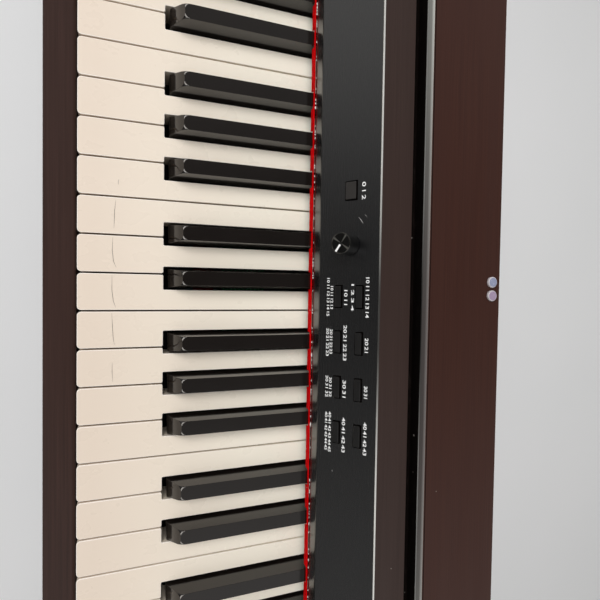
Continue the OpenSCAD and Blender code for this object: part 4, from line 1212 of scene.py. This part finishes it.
def support_foot():
    """The foot below the pedal box: a rubber disc on a threaded stem that turns up into the box."""
    low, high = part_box("support_foot")
    middle = middle_of("support_foot")
    disc_height = 8 * MM
    root, crest = 3.4, 4                            # radii of the thread in millimetres
    half_pitch = 0.6 * MM
    turns = 24
    disc = drum("support_foot_disc", (middle.x, middle.y, low.z), (high.x - low.x) / 2, disc_height, 60)
    work_on(disc)
    round_edges(disc, 1.2 * MM, 3, lambda a, b: near(a.z, b.z))
    put_down()
    fit(disc, "support_foot", RUBBER, "foot_rubber", "support_foot")

    stem_foot = low.z + disc_height
    stem = drum("support_foot_stem", (middle.x, middle.y, stem_foot), root * MM, half_pitch, 24)
    work_on(stem)
    pick_faces(stem, lambda c, n: n.z > 0.9)
    for _ in range(turns):
        for wide in (crest / root, root / crest):
            push((0, 0, half_pitch))
            bpy.ops.transform.resize(value=(wide, wide, 1), center_override=(middle.x, middle.y, 0))
    push((0, 0, high.z - stem_foot - (2 * turns + 1) * half_pitch))
    put_down()
    fit(stem, "support_foot", ROD, None, angle=20)


def inner_finishes():
    """Finishes of the solids that are shown as they are, behind the keys, the panel and the grilles."""
    finishes = {"button_board": BOARD_GREEN, "main_board": BOARD_GREEN, "amplifier_board": BOARD_GREEN,
                "contact_board": BOARD_GREEN, "speakers": PAPER, "pedal_pivot_rod": ROD, "key_pivot_rod": ROD,
                "key_frame": FRAME_ABS, "key_stop_felts": STOP_FELT}
    for node, material in finishes.items():
        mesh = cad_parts[node].data
        mesh.materials.clear()
        mesh.materials.append(material)


keyboard()
pencil_marks()
panel_sheet()
panel_trim()
panel_scratches()
name_felt()
lint()
controls()
front_rail()
top_board()
bumpers()
boards()
bolts()
rear_screws()
sockets()
grilles()
pedals()
support_foot()
inner_finishes()


# ---------- Stage, light and camera ----------

def stage():
    """A pale floor, wide enough to fill every view."""
    bpy.ops.object.select_all(action="DESELECT")
    bpy.ops.mesh.primitive_plane_add(size=14, location=(0, 0, 0))
    floor = named(settle(bpy.context.object), "pale_floor")
    floor.data.materials.append(floor_paint())


def softbox(name, place, target, size, power, in_gloss=True):
    """A square soft light that points at a place."""
    lamp = bpy.data.lights.new(name, "AREA")
    lamp.shape = "SQUARE"
    lamp.size = size
    lamp.energy = power
    holder = bpy.data.objects.new(name, lamp)
    holder.location = place
    holder.rotation_euler = (Vector(target) - Vector(place)).to_track_quat("-Z", "Y").to_euler()
    holder.visible_glossy = in_gloss
    bpy.context.scene.collection.objects.link(holder)


def ends(tree, along, bass, treble):
    """Light that grows from a dim middle towards both ends of the keyboard, up to a level for each."""
    grown = [add(tree, "MapRange", {
        "Value": along, "From Min": 0.06 * side, "From Max": 0.6 * side, "To Max": level},
        interpolation_type="SMOOTHSTEP") for side, level in ((-1, bass), (1, treble))]
    both = add(tree, "Math", {0: grown[0], 1: grown[1]}, operation="ADD")
    middle_level = 0.06
    return add(tree, "Math", {0: both, 1: middle_level}, operation="ADD")


def walls():
    """Pale studio walls behind, dim overhead and where the player sits, and lighter beyond both ends."""
    world = bpy.data.worlds.new("studio_walls")
    bpy.context.scene.world = world
    world.use_nodes = True
    tree = world.node_tree
    where = add(tree, "TexCoord")
    way = add(tree, "SeparateXYZ", {"Vector": where.outputs["Generated"]})
    front = add(tree, "MapRange", {"Value": way.outputs["Y"], "From Min": 0.1, "From Max": -0.5},
                interpolation_type="SMOOTHSTEP")
    overhead = add(tree, "MapRange", {"Value": way.outputs["Z"], "From Min": 0.3, "From Max": 0.7},
                   interpolation_type="SMOOTHSTEP")
    level = add(tree, "Mix", {"Factor": front, "A": 0.5, "B": ends(tree, way.outputs["X"], 0.46, 0.15)},
                data_type="FLOAT")
    level = add(tree, "Mix", {"Factor": overhead, "A": level, "B": ends(tree, way.outputs["X"], 0.25, 0.5)},
                data_type="FLOAT")
    feed(tree, tree.nodes["Background"], {"Color": "#FFFDFA", "Strength": level})


def lights():
    """Soft light from above, a softbox on each side in front, stronger at the bass end, and one behind."""
    walls()
    softbox("ceiling_softbox", (-0.6, -0.5, 2.7), (0, 0, 0.7), 1.6, 28, in_gloss=False)
    softbox("bass_side_softbox", (-1.3, -1.2, 2.8), (0, 0, 0.7), 1.0, 20, in_gloss=False)
    softbox("treble_side_softbox", (1.3, -1.3, 2.7), (0, 0, 0.7), 1.4, 3)
    softbox("rear_softbox", (-0.3, 1.9, 2.4), (0, 0.6, 0), 1.6, 4.5, in_gloss=False)


def camera():
    """The view down on the middle of the keyboard, from the player's side, with the treble end below."""
    eye = bpy.data.cameras.new("camera")
    eye.lens = 27.06
    eye.sensor_width = 36
    eye.clip_start = 0.01
    holder = bpy.data.objects.new("camera", eye)
    swing, lean, tilt = radians(0.31), radians(-1.72), radians(20.11)
    turn = (Matrix.Rotation(swing, 4, "Z") @ Matrix.Rotation(lean, 4, "Y")
            @ Matrix.Rotation(tilt, 4, "X") @ Matrix.Rotation(pi / 2, 4, "Z"))
    holder.matrix_world = Matrix.Translation((-0.0158, -0.0671, 1.0313)) @ turn
    bpy.context.scene.collection.objects.link(holder)
    bpy.context.scene.camera = holder


stage()
lights()
camera()
bpy.context.scene.view_settings.view_transform = "Standard"
